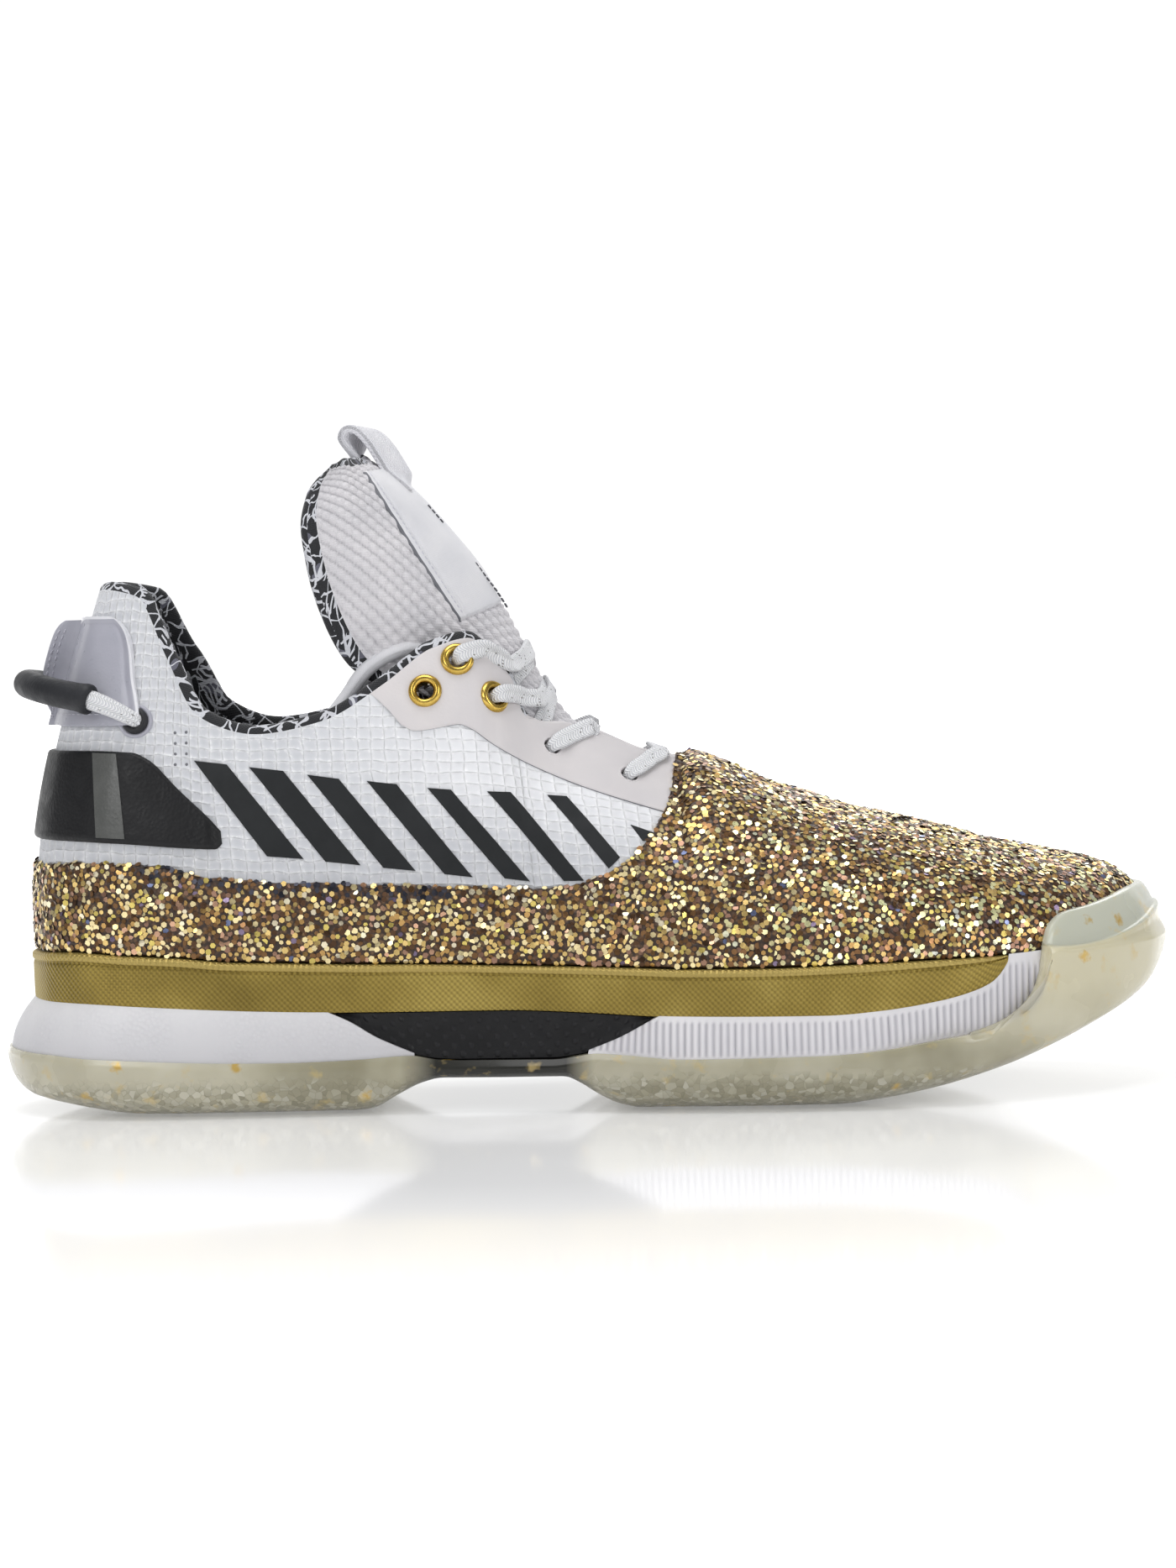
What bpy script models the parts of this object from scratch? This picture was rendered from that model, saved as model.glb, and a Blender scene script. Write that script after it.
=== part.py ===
"""Mid-cut basketball shoe, right foot, standing empty on its sole.

Sizes in the tables are millimetres. x runs from the heel end of the sole (0) to
the toe (LENGTH), y is positive on the inner (big toe) side, z is up from the floor.
"""
import math

import bmesh
import bpy
import numpy as np
from mathutils import kdtree

# ------------------------------------------------------------------ driving sizes
LENGTH = 305.0         # sole, heel end to toe end
BALL_WIDTH = 110.4     # sole across the ball
HEEL_HEIGHT = 137.0    # top of the collar at the heel
WALL = 2.2             # upper's wall
PAD = 1.8              # extra wall in the padded collar
GAP = 0.3              # between pieces that meet
RAND_THICK = 0.8       # proud toe cap and mudguard
COUNTER_THICK = 1.6    # moulded heel counter
TAB_THICK = 1.5        # heel strap
INSOLE_THICK = 4.0
LACE_WIDE, LACE_THICK = 6.0, 1.6
CORD_R, GRIP_R = 2.3, 3.5
EYELET_R, EYELET_HOLE_R, EYELET_BORE = 4.2, 2.1, 2.95
PUNCH_R = 2.4          # bare lace holes

SX, SY, SZ = LENGTH / 305.0, BALL_WIDTH / 110.4, HEEL_HEIGHT / 137.0
MM = 0.001
CENTRE = (LENGTH / 2.0, -0.45 * SY)     # plan point that becomes the origin
OUTER, INNER = -1.0, 1.0               # the two sides of the shoe (sign of y)

# ------------------------------------------------------------------ the last: one row per section
# foot_*: the featherline, where the upper meets the sole: x, half width outer / inner
# top_*: the upper's top line: x, half gap outer / inner, height (gap 0 = closed ridge of the vamp)
# rise, bulge: how the section leaves the sole;  lean, pull: how it reaches the top line
# flare: how far the sole stands out past the featherline
COLUMNS = ("foot_x", "foot_out", "foot_in", "top_x", "top_out", "top_in", "top_z",
           "rise", "bulge", "lean", "pull", "flare")
SECTIONS = {
    "heel_back":    (9.5, 0.0, 0.0, 28.5, 0.0, 0.0, 137.0, 33, 3.0, 72, 29, 9.5),
    "heel_turn":    (14.5, 19.0, 19.0, 31.0, 11.5, 11.5, 137.4, 32, 3.0, 74, 29, 8.2),
    "heel_side":    (29.0, 31.0, 30.4, 39.5, 18.0, 18.0, 135.4, 31, 3.0, 77, 29, 6.2),
    "heel_wide":    (45.0, 34.8, 33.4, 47.2, 23.0, 22.8, 119.0, 28, 3.0, 80, 26, 5.0),
    "ankle_back":   (58.0, 36.0, 33.4, 55.0, 27.6, 27.2, 104.6, 24, 2.5, 82, 22, 4.6),
    "ankle":        (74.0, 36.6, 32.8, 70.0, 31.0, 30.2, 99.7, 22, 2.2, 82, 20, 4.2),
    "ankle_front":  (90.0, 37.0, 32.2, 86.5, 31.4, 30.5, 102.6, 22, 2.0, 80, 20, 3.4),
    "collar_rise":  (105.0, 37.6, 31.8, 102.0, 29.8, 29.0, 111.2, 24, 2.0, 75, 22, 2.4),
    "eyestay_top":  (119.0, 38.4, 31.8, 115.0, 27.4, 26.8, 120.2, 26, 2.0, 68, 25, 2.2),
    "eyestay_peak": (128.0, 39.3, 32.2, 124.0, 25.0, 24.6, 122.4, 27, 2.0, 62, 26, 2.4),
    "throat_top":   (135.0, 40.2, 33.0, 131.0, 21.0, 21.0, 116.6, 27, 2.0, 57, 25, 2.8),
    "throat_upper": (143.0, 41.4, 34.2, 138.6, 17.5, 17.5, 106.6, 26, 2.0, 52, 24, 3.4),
    "throat_mid":   (151.0, 42.8, 35.6, 147.0, 15.0, 15.0, 99.4, 26, 1.6, 47, 23, 4.0),
    "throat_low":   (161.0, 44.7, 37.8, 158.0, 13.0, 13.0, 94.6, 25, 1.5, 42, 22, 4.6),
    "throat_end":   (172.0, 46.6, 40.4, 169.5, 10.5, 10.5, 89.6, 24, 1.4, 36, 22, 5.0),
    "throat_turn":  (180.0, 47.8, 42.4, 178.0, 6.5, 6.5, 88.0, 24, 1.2, 28, 22, 5.2),
    "throat_front": (186.0, 48.6, 43.8, 181.5, 0.0, 0.0, 88.2, 23, 1.0, 16, 25, 5.4),
    "vamp":         (200.0, 49.8, 46.6, 196.5, 0.0, 0.0, 82.2, 21, 1.0, 8, 28, 5.6),
    "ball":         (218.0, 50.0, 48.8, 213.0, 0.0, 0.0, 75.6, 19, 1.0, 5, 29, 5.6),
    "toe_base":     (238.0, 47.6, 49.2, 230.0, 0.0, 0.0, 70.9, 17, 1.0, 4, 28, 5.6),
    "toe_side":     (258.0, 41.6, 46.6, 245.5, 0.0, 0.0, 66.9, 15, 1.0, 3, 26, 5.6),
    "toe_round":    (275.0, 32.4, 40.2, 257.0, 0.0, 0.0, 63.7, 13, 1.0, 2, 24, 6.0),
    "toe_turn":     (287.0, 21.2, 31.2, 264.5, 0.0, 0.0, 61.7, 13, 1.0, 2, 22, 6.6),
    "toe_corner":   (294.5, 8.2, 19.8, 269.0, 0.0, 0.0, 60.8, 14, 1.2, 1, 21, 7.2),
    "toe_tip":      (297.5, -6.2, 6.2, 271.0, 0.0, 0.0, 60.4, 14, 1.4, 1, 21, 7.5),
}
NAMES = list(SECTIONS)
LAST = len(NAMES) - 1
RIDGE_FROM = NAMES.index("throat_front")

# ridge of the vamp: how far it sits toward the inner side
RIDGE = ((181.5, 0.0), (196.5, 0.8), (213.0, 2.0), (230.0, 3.4), (245.5, 4.6), (271.0, 6.2))
# heights along the shoe (x, z)
FEATHER = ((8, 41.6), (22, 42.4), (35, 41.6), (47, 41.0), (62, 39.6), (78, 39.0), (95, 38.4), (115, 38.0),
           (132, 37.4), (150, 36.9), (165, 36.4), (177, 35.9), (199, 35.8), (213, 36.1), (240, 36.7),
           (258, 37.0), (270, 37.6), (285, 38.4), (298, 39.2))
BAND_LOW = ((8, 29.4), (22, 29.3), (38, 28.6), (54, 27.7), (70, 26.9), (86, 26.4), (115, 26.2), (132, 26.2),
            (144, 25.8), (155, 25.2), (171, 24.2), (184, 23.9), (199, 23.7), (212, 23.6), (225.5, 24.4),
            (240, 26.3), (247, 27.8), (254, 30.4), (257, 33.2), (258.5, 35.6))
OUT_TOP = ((0, 16.8), (14, 16.5), (23, 15.8), (35, 15.3), (47, 14.7), (62, 14.2), (77, 14.0), (93, 14.3),
           (107, 15.0), (114, 13.9), (120, 13.6), (143, 13.7), (150, 14.6), (154, 15.2), (161, 14.8), (176, 13.6),
           (198, 13.8), (212, 14.0), (225.5, 14.9), (240, 16.9), (247.5, 17.8), (256, 19.6), (270, 23.4),
           (285, 28.0), (298, 32.0), (306, 34.0))
WRAP_TOP = ((247.5, 17.8), (256, 20.2), (262, 23.4), (266.5, 28.0), (268.6, 33.5), (269.8, 41.0), (272, 44.4),
            (277, 46.9), (285.5, 48.2), (294, 49.8), (299, 51.0), (306, 52.0))
GROUND = ((-1, 16.0), (0, 14.0), (1, 10.6), (3, 7.0), (7, 4.4), (12.6, 3.0), (19, 1.9), (27, 0.9), (35, 0.15),
          (40, 0), (92, 0), (97.5, 0.8), (103, 3.8), (110, 7.2), (115, 8.3), (146, 8.3), (150, 6.6), (154, 4.0),
          (160, 1.1), (166, 0), (214, 0), (225, 1.0), (240, 3.4), (250, 5.7), (260, 8.5), (270, 12.0), (280, 16.0),
          (290, 20.8), (297, 25.4), (302, 30.6), (305, 36.4), (307, 40))
REAR_RAMP = ((86.5, 26.2), (92, 23.6), (98.5, 19.6), (108, 15.3))     # heel foam under the shank
FRONT_RAMP = ((152, 15.4), (160, 18.6), (170, 24.0))                  # ball foam under the shank
RAND_TOP = ((7, 64.4), (20, 65.0), (33.5, 65.2), (48.4, 63.5), (58, 61.1), (72.7, 59.8), (92, 58.9), (111.5, 58.0),
            (131, 57.2), (145, 56.8), (155, 58.8), (160, 60.7), (164.6, 64.0), (169.4, 68.7), (172.4, 73.3),
            (174.6, 78.0), (175.6, 82.6), (176.0, 86.0), (176.4, 100.0))
COUNTER_TOP = ((8, 93.4), (25, 93.6), (38, 93.0), (42, 91.2), (50, 83.2), (58, 75.6), (61.5, 71.6))
COUNTER_LOW = ((8, 71.0), (20, 70.8), (36, 70.0), (50, 68.8), (59, 68.3), (61.5, 70.6))
TAB_TOP = ((20, 127.6), (30, 127.4), (33, 125.6), (36, 121.5))
TAB_LOW = ((8, 99.6), (30, 99.6), (40, 101.0))
TAB_FRONT = ((99, 40.4), (106.5, 39.6), (112, 38.2), (122.5, 35.8), (128, 34.0))   # z, x of its front edge
FIN_BACK = ((99.6, 16.4), (101.5, 15.2), (105, 13.2), (110, 11.9), (113, 12.2), (120, 14.0), (127.6, 17.0))  # z, x

# tongue: centre line and edge of each section
TONGUE_COLUMNS = ("mid_x", "mid_z", "edge_x", "edge_y", "edge_z")
TONGUE = {
    "tip":   (181.0, 79.6, 177.0, 12.0, 76.5),
    "vamp":  (171.0, 83.8, 165.0, 16.5, 78.5),
    "low":   (158.5, 90.2, 150.0, 19.0, 84.5),
    "mid":   (149.0, 98.4, 134.0, 20.2, 93.0),
    "laced": (141.8, 109.0, 117.0, 20.8, 101.5),
    "bend":  (137.2, 118.3, 104.5, 21.2, 107.0),
    "ankle": (132.0, 128.4, 94.0, 22.6, 114.0),
    "rise":  (125.2, 138.5, 88.0, 25.6, 125.5),
    "shin":  (118.0, 147.6, 84.6, 27.2, 138.0),
    "upper": (111.0, 155.8, 83.3, 27.2, 149.5),
    "brow":  (104.5, 162.0, 85.2, 25.0, 158.8),
    "top":   (97.5, 167.4, 90.0, 19.5, 165.4),
}
TONGUE_THICK, TONGUE_EDGE_THICK = 6.0, 3.4
LOOP_PATH = ((106.6, 162.4), (105.6, 167.0), (103.2, 171.6), (99.2, 174.4), (95.6, 174.6), (93.6, 172.6),
             (93.7, 170.6))
LOOP_WIDE, LOOP_THICK = 15.0, 2.0

# lace holes on the outer side, from the top: x, z; the upper three carry metal eyelets
HOLES = {"top": (113.1, 107.0), "second": (121.3, 114.7), "third": (130.1, 104.9),
         "fourth": (144.7, 91.7), "fifth": (164.3, 83.8)}
METAL = ("top", "second", "third")
# lace crossings: upper hole, section where it leaves the eyestay, tongue section under the crossing and its dive
CROSSINGS = {
    "lace_cross_top":    ("second", 10.3, 4.80, 4.45),
    "lace_cross_middle": ("third", 11.3, 3.80, 3.50),
    "lace_cross_low":    ("fourth", 12.7, 2.60, 2.35),
}
DIVE_TURN = 0.40      # radians round the tongue
BAR = ("fifth", 14.3, (171.4, 92.0))


# ------------------------------------------------------------------ curves through table rows
class Track:
    """Smooth curve through (knot, value) rows that never overshoots them."""

    def __init__(self, knots, values, flat_ends=False):
        k, v = np.asarray(knots, float), np.asarray(values, float)
        h = np.diff(k)
        s = np.diff(v) / h
        d = np.zeros_like(v)
        same = s[:-1] * s[1:] > 0
        a, b = np.where(same, s[:-1], 1.0), np.where(same, s[1:], 1.0)
        wa, wb = 2 * h[1:] + h[:-1], h[1:] + 2 * h[:-1]
        d[1:-1] = np.where(same, (wa + wb) / (wa / a + wb / b), 0.0)
        if not flat_ends:
            d[0], d[-1] = s[0], s[-1]
        self.k, self.v, self.h, self.d = k, v, h, d

    def __call__(self, q):
        q = np.clip(np.asarray(q, float), self.k[0], self.k[-1])
        i = np.clip(np.searchsorted(self.k, q, side="right") - 1, 0, len(self.h) - 1)
        h = self.h[i]
        t = (q - self.k[i]) / h
        t2, t3 = t * t, t * t * t
        return ((2 * t3 - 3 * t2 + 1) * self.v[i] + (t3 - 2 * t2 + t) * h * self.d[i]
                + (3 * t2 - 2 * t3) * self.v[i + 1] + (t3 - t2) * h * self.d[i + 1])


def along(rows, sx=1.0, sz=1.0):
    return Track([r[0] * sx for r in rows], [r[1] * sz for r in rows])


table = {c: np.array([SECTIONS[n][i] for n in NAMES], float) for i, c in enumerate(COLUMNS)}
for c in ("foot_x", "top_x"):
    table[c] *= SX
for c in ("foot_out", "foot_in", "top_out", "top_in", "flare"):
    table[c] *= SY
for c in ("top_z", "rise"):
    table[c] *= SZ
EVEN = ("foot_x", "top_x", "top_z", "rise", "bulge", "lean", "pull", "flare")
row = {c: Track(range(LAST + 1), table[c], flat_ends=c in EVEN) for c in COLUMNS}
ridge_y = along(RIDGE, SX, SY)
feather, band_low, out_top, wrap_top = (along(t, SX, SZ) for t in (FEATHER, BAND_LOW, OUT_TOP, WRAP_TOP))
ground, rear_ramp, front_ramp = (along(t, SX, SZ) for t in (GROUND, REAR_RAMP, FRONT_RAMP))
rand_top, counter_top, counter_low = (along(t, SX, SZ) for t in (RAND_TOP, COUNTER_TOP, COUNTER_LOW))
tab_top, tab_low = (along(t, SX, SZ) for t in (TAB_TOP, TAB_LOW))
tab_front, fin_back = (along(t, SZ, SX) for t in (TAB_FRONT, FIN_BACK))


def station(x):
    """Section number whose featherline is at x."""
    lo, hi = 0.0, float(LAST)
    for _ in range(50):
        mid = 0.5 * (lo + hi)
        lo, hi = (mid, hi) if row["foot_x"](mid) < x else (lo, mid)
    return 0.5 * (lo + hi)


def foot(u, side):
    """Featherline point and its outward direction in plan."""
    half = row["foot_out" if side < 0 else "foot_in"]
    step = 1e-3
    a, b = np.clip(u - step, 0, LAST), np.clip(u + step, 0, LAST)
    tx, ty = row["foot_x"](b) - row["foot_x"](a), side * (half(b) - half(a))
    tx = np.where((u <= 0) | (u >= LAST), 0.0, tx)
    size = np.hypot(tx, ty)
    return row["foot_x"](u), side * half(u), side * -ty / size, side * tx / size


def skin(u, side, v):
    """Outer face of the upper: section u, height fraction v (0 at the sole, 1 at the top line)."""
    u, v = np.broadcast_arrays(np.asarray(u, float), np.asarray(v, float))
    fx, fy, nx, ny = foot(u, side)
    fz = feather(fx) + 1.6 * GAP
    gap = row["top_out" if side < 0 else "top_in"](u)
    ex, ez = row["top_x"](u), row["top_z"](u)
    ey = ridge_y(ex) * (u >= RIDGE_FROM) + side * gap * (u < RIDGE_FROM)
    step = 1e-2
    a, b = np.clip(u - step, 0, LAST), np.clip(u + step, 0, LAST)
    slope = -(row["top_z"](b) - row["top_z"](a)) / np.maximum(row["top_x"](b) - row["top_x"](a), 1e-6)
    closed = 1.0 - np.clip(gap / 6.5, 0, 1)
    closed = np.where(u >= RIDGE_FROM - 1, closed, 0.0)
    lean = np.radians(row["lean"](u))
    in_h = (1 - closed) * np.cos(lean) + closed
    in_z = (1 - closed) * np.sin(lean) + closed * np.clip(slope, 0, 0.6) * nx
    pull, rise, bulge = row["pull"](u), row["rise"](u), row["bulge"](u)
    p0 = np.stack([fx, fy, fz], -1)
    p1 = np.stack([fx + bulge * nx, fy + bulge * ny, fz + rise], -1)
    p2 = np.stack([ex + pull * in_h * nx, ey + pull * in_h * ny, ez - pull * in_z], -1)
    p3 = np.stack([ex, ey, ez], -1)
    v = v[..., None]
    w = 1 - v
    return w ** 3 * p0 + 3 * w * w * v * p1 + 3 * w * v * v * p2 + v ** 3 * p3


def skin_normal(u, side, v):
    e = 1e-3
    du = skin(min(u + e, LAST), side, v) - skin(max(u - e, 0), side, v)
    dv = skin(u, side, min(v + e, 1.0)) - skin(u, side, max(v - e, 0.0))
    n = np.cross(du, dv) * -side
    return n / np.linalg.norm(n)


def height_at(u, side, line):
    """First height fraction at which section u reaches the side-view line z = line(x)."""
    v = np.linspace(0, 1, 121)
    p = skin(np.full_like(v, u), side, v)
    over = p[:, 2] - line(p[:, 0])
    if over[0] >= 0:
        return 0.0
    hit = np.nonzero(over >= 0)[0]
    if not len(hit):
        return 1.0
    i = hit[0]
    return v[i - 1] + (v[i] - v[i - 1]) * -over[i - 1] / (over[i] - over[i - 1])


def find_on_skin(side, x, z):
    """Section and height fraction of the point seen at (x, z) from the side."""
    u, v = station(x + 3), 0.8
    for _ in range(60):
        p = skin(u, side, v)
        pu = (skin(u + 1e-3, side, v) - p) / 1e-3
        pv = (skin(u, side, v + 1e-3) - p) / 1e-3
        jac = np.array([[pu[0], pv[0]], [pu[2], pv[2]]])
        step = np.linalg.solve(jac, np.array([x - p[0], z - p[2]]))
        u, v = u + np.clip(step[0], -0.5, 0.5), min(max(v + np.clip(step[1], -0.1, 0.1), 0.0), 0.999)
    return u, v


# ------------------------------------------------------------------ mesh making
def unit(a):
    return a / np.maximum(np.linalg.norm(a, axis=-1, keepdims=True), 1e-12)


def weld(points, faces):
    """Merge points that coincide and drop faces that vanish."""
    tree = kdtree.KDTree(len(points))
    for i, p in enumerate(points):
        tree.insert(p, i)
    tree.balance()
    index, out = [None] * len(points), []
    for i, p in enumerate(points):
        if index[i] is None:
            for _, j, _ in tree.find_range(p, 0.01):
                if index[j] is None:
                    index[j] = len(out)
            out.append(np.asarray(p, float))
    kept = []
    for f in faces:
        g = []
        for i in f:
            j = index[i]
            if not g or g[-1] != j:
                g.append(j)
        if len(g) > 1 and g[0] == g[-1]:
            g.pop()
        if len(set(g)) == len(g) and len(g) > 2:
            kept.append(tuple(g))
    return np.array(out), kept


def sheet(columns, closed):
    """Open surface through columns of points, welded where columns share points."""
    count, height = len(columns), len(columns[0])
    points = [p for c in columns for p in c]
    faces = []
    for k in range(count if closed else count - 1):
        m = (k + 1) % count
        for j in range(height - 1):
            faces.append((k * height + j, m * height + j, m * height + j + 1, k * height + j + 1))
    return weld(points, faces)


def point_normals(points, faces):
    total = np.zeros_like(points)
    for f in faces:
        for i in range(1, len(f) - 1):
            a, b, c = points[f[0]], points[f[i]], points[f[i + 1]]
            n = np.cross(b - a, c - a)
            for j in (f[0], f[i], f[i + 1]):
                total[j] += n
    return unit(total)


def thicken(points, faces, low, high):
    """Closed wall between the surface moved by low and by high along its normals."""
    n = point_normals(points, faces)
    low, high = (np.broadcast_to(np.asarray(d, float), (len(points),))[:, None] for d in (low, high))
    count = len(points)
    directed = {(f[i], f[(i + 1) % len(f)]) for f in faces for i in range(len(f))}
    out = [tuple(f) for f in faces] + [tuple(i + count for i in reversed(f)) for f in faces]
    out += [(b, a, a + count, b + count) for a, b in directed if (b, a) not in directed]
    return np.vstack([points + n * high, points + n * low]), out


def loft(sections, cap_start, cap_end):
    """Solid through closed sections with equal point counts; a collapsed end section needs no cap."""
    size = len(sections[0])
    points = [p for s in sections for p in s]
    faces = []
    for k in range(len(sections) - 1):
        for j in range(size):
            m = (j + 1) % size
            faces.append((k * size + j, k * size + m, (k + 1) * size + m, (k + 1) * size + j))
    if cap_start:
        faces.append(tuple(reversed(range(size))))
    if cap_end:
        faces.append(tuple(range((len(sections) - 1) * size, len(sections) * size)))
    return weld(points, faces)


def volume(points, faces):
    total = 0.0
    for f in faces:
        for i in range(1, len(f) - 1):
            total += np.dot(points[f[0]], np.cross(points[f[i]], points[f[i + 1]]))
    return total / 6


def material(name, colour, rough, metal=0.0):
    mat = bpy.data.materials.new(name)
    mat.use_nodes = True
    node = mat.node_tree.nodes["Principled BSDF"]
    node.inputs["Base Color"].default_value = (*colour, 1.0)
    node.inputs["Roughness"].default_value = rough
    node.inputs["Metallic"].default_value = metal
    return mat


def add(name, points, faces, mat, smooth=True):
    """Object from millimetre points, with its faces pointing out."""
    if volume(points, faces) < 0:
        faces = [tuple(reversed(f)) for f in faces]
    bm = bmesh.new()
    verts = [bm.verts.new(((p[0] - CENTRE[0]) * MM, (p[1] - CENTRE[1]) * MM, p[2] * MM)) for p in points]
    for f in faces:
        bm.faces.new([verts[i] for i in f])
    bmesh.ops.triangulate(bm, faces=bm.faces[:], quad_method="SHORT_EDGE")
    mesh = bpy.data.meshes.new(name)
    bm.to_mesh(mesh)
    bm.free()
    if smooth:
        mesh.shade_smooth()
    obj = bpy.data.objects.new(name, mesh)
    mesh.materials.append(mat)
    bpy.context.collection.objects.link(obj)
    return obj


def cutter(obj):
    obj.hide_render = True
    obj.display_type = "WIRE"
    return obj


def boolean(obj, other, operation):
    mod = obj.modifiers.new(operation.lower(), "BOOLEAN")
    mod.operation, mod.object, mod.solver = operation, other, "EXACT"


def smooth_path(points, count):
    """Even points on a smooth curve through the route's own points."""
    pts = np.asarray(points, float)
    knots = np.concatenate([[0], np.cumsum(np.linalg.norm(np.diff(pts, axis=0), axis=1))])
    ext = np.vstack([2 * pts[0] - pts[1], pts, 2 * pts[-1] - pts[-2]])
    out = []
    for q in np.linspace(0, knots[-1], count):
        i = min(np.searchsorted(knots, q, side="right") - 1, len(pts) - 2)
        t = (q - knots[i]) / (knots[i + 1] - knots[i])
        a, b, c, d = ext[i], ext[i + 1], ext[i + 2], ext[i + 3]
        out.append(0.5 * (2 * b + (c - a) * t + (2 * a - 5 * b + 4 * c - d) * t * t
                          + (3 * b - 3 * c + d - a) * t ** 3))
    return np.array(out)


def ribbon(path, ups, wide, thick):
    """Closed flat strip along a path, its face turned to ups."""
    tangents = unit(np.gradient(path, axis=0))
    sections = []
    for p, t, up in zip(path, tangents, ups):
        side = unit(np.cross(t, up))
        face = unit(np.cross(side, t))
        sections.append([p + side * wide / 2 * a + face * thick / 2 * b
                         for a, b in ((-1, -0.45), (-0.8, -1), (0.8, -1), (1, -0.45), (1, 0.45), (0.8, 1),
                                      (-0.8, 1), (-1, 0.45))])
    return loft(sections, True, True)


def ring_frames(path):
    """Frames along a path that don't twist."""
    tangents = unit(np.gradient(path, axis=0))
    up = unit(np.cross(tangents[0], (0.3, 0.2, 1.0)))
    frames = []
    for t in tangents:
        up = unit(up - t * np.dot(up, t))
        frames.append((up, np.cross(t, up)))
    return frames


def tube(path, radius, bore=0.0, sides=8):
    frames = ring_frames(path)
    turn = np.linspace(0, 2 * math.pi, sides, endpoint=False)

    def skin_of(r):
        return [[p + r * (math.cos(a) * f[0] + math.sin(a) * f[1]) for a in turn] for p, f in zip(path, frames)]

    outer = skin_of(radius)
    if not bore:
        return loft(outer, True, True)
    inner = skin_of(bore)
    return loft(outer + inner[::-1] + [outer[0]], False, False)


# ------------------------------------------------------------------ sole pieces
def sole_stations(x_from, x_to, extra=()):
    """Section numbers between two x positions: the table's rows, both ends and any extra places."""
    us = {round(station(x * SX), 6) for x in (x_from, x_to, *extra)}
    first, last = min(us), max(us)
    us |= {float(i) for i in range(LAST + 1) if first < i < last}
    us |= {i + 0.5 for i in (0, 1, 19, 20, 21, 22, 23) if first < i + 0.5 < last}
    keep = []
    for u in sorted(us):
        if keep and u - keep[-1] < 0.12 and u != last:
            continue
        keep.append(u)
    return keep


def across(a, b, parts):
    return [a + (b - a) * (i + 1) / (parts + 1) for i in range(parts)]


def stack(stations, ring, parts=1):
    """Solid whose sections are an outer ring (bottom to top), the top, an inner ring and the bottom."""
    sections = []
    for u in stations:
        left, right = ring(u, OUTER), ring(u, INNER)
        sections.append(left + across(left[-1], right[-1], parts) + right[::-1] + across(right[0], left[0], parts))
    ends = [np.ptp(np.array(s)[:, 1]) > 0.5 for s in (sections[0], sections[-1])]
    return loft(sections, *ends)


def at(u, side, offset, z):
    """Point beside the featherline, offset outward in plan, at height z (a number or a function of x)."""
    fx, fy, nx, ny = foot(u, side)
    x = float(fx + nx * offset)
    return np.array([x, float(fy + ny * offset), float(z(x) if callable(z) else z)])


def outsole_ring(u, side):
    fx, fy, nx, ny = (float(q) for q in foot(u, side))
    flare, flank = float(row["flare"](u)), abs(ny)
    waist = float(np.clip(1 - abs(fx - 130 * SX) / (38 * SX), 0, 1)) ** 0.5
    rim = at(u, side, flare - 0.8, out_top)
    lip = float(wrap_top(fx + nx * flare)) if fx > 247 * SX else rim[2]
    wrapped = float(np.clip((fx - 252 * SX) / (16 * SX), 0, 1))
    deep = rim[2] - float(ground(rim[0]))
    bottom = [at(u, side, -13.0, ground), at(u, side, -5.0, ground), at(u, side, 0.1 * flare, ground),
              at(u, side, 0.8 * flare, ground), at(u, side, flare, ground)]
    bottom[1][2] += 0.6 * flank * (1 - waist)
    bottom[2][2] += 0.16 * deep * flank + 0.4 * flank
    bottom[3][2] += 0.40 * deep * flank
    level = (1 - wrapped) * (rim[2] - 2.2) + wrapped * (feather(fx) - 1.6)
    bottom[4][2] = max(float(level), bottom[3][2] + 0.4)
    if lip - rim[2] < 0.15:
        return bottom + [rim] * 7
    inside = 2.0 + GAP
    rows = []
    for part, thick in ((0.62, 1.6 + 1.2 * wrapped), (1.0, 1.3), (1.0, 0.0), (0.72, 0.0), (0.4, 0.0)):
        z = rim[2] + (lip - rim[2]) * part
        v = height_at(u, side, lambda x, z=z: np.full_like(x, z))
        face = skin(u, side, v)
        base = np.hypot(face[0] - fx, face[1] - fy) * np.sign((face[0] - fx) * nx + (face[1] - fy) * ny)
        off = inside + 0.9 * part + max(float(base), -6.0) + thick * (0.55 + 0.45 * wrapped)
        rows.append(at(u, side, off, z))
    rows.append(at(u, side, inside, out_top))
    return bottom + [at(u, side, flare - 0.8 * (1 - wrapped), bottom[4][2] + 1.2 if wrapped > 0 else rim[2])] + rows


def foam_ring(low, high, spread):
    """Foam block from the outsole's rim up to the band: wide below, flush with the band above."""
    def ring(u, side):
        fx = float(row["foot_x"](u))
        flare = float(row["flare"](u))
        wide = spread(fx, flare)
        top = 1.5
        z0, z1 = low(fx) + GAP, high(fx) - GAP
        z1 = max(z1, z0 + 0.4)
        out = []
        for part, share in ((0.0, 1.0), (0.35, 0.86), (0.7, 0.5), (1.0, 0.0)):
            p = at(u, side, top + (wide - top) * share, 0.0)
            lo, hi = low(p[0]) + GAP, high(p[0]) - GAP
            p[2] = lo + max(hi - lo, 0.4) * part
            out.append(p)
        return out
    return ring


def heel_high(x):
    return float(np.where(x < 86.5 * SX, band_low(x), rear_ramp(x)))


def ball_high(x):
    return float(np.where(x < 170 * SX, front_ramp(x), np.where(x < 258.5 * SX, band_low(x), feather(x))))


def shank_low(x):
    rim = float(out_top(x))
    if x < 108 * SX:
        return float(rear_ramp(x))
    return float(np.maximum(front_ramp(x), rim)) if x > 152 * SX else rim


def heel_spread(x, flare):
    return flare - 1.2


def ball_spread(x, flare):
    return 1.5 + (flare - 2.7) * float(np.clip((245 - x / SX) / 24, 0, 1))


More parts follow.
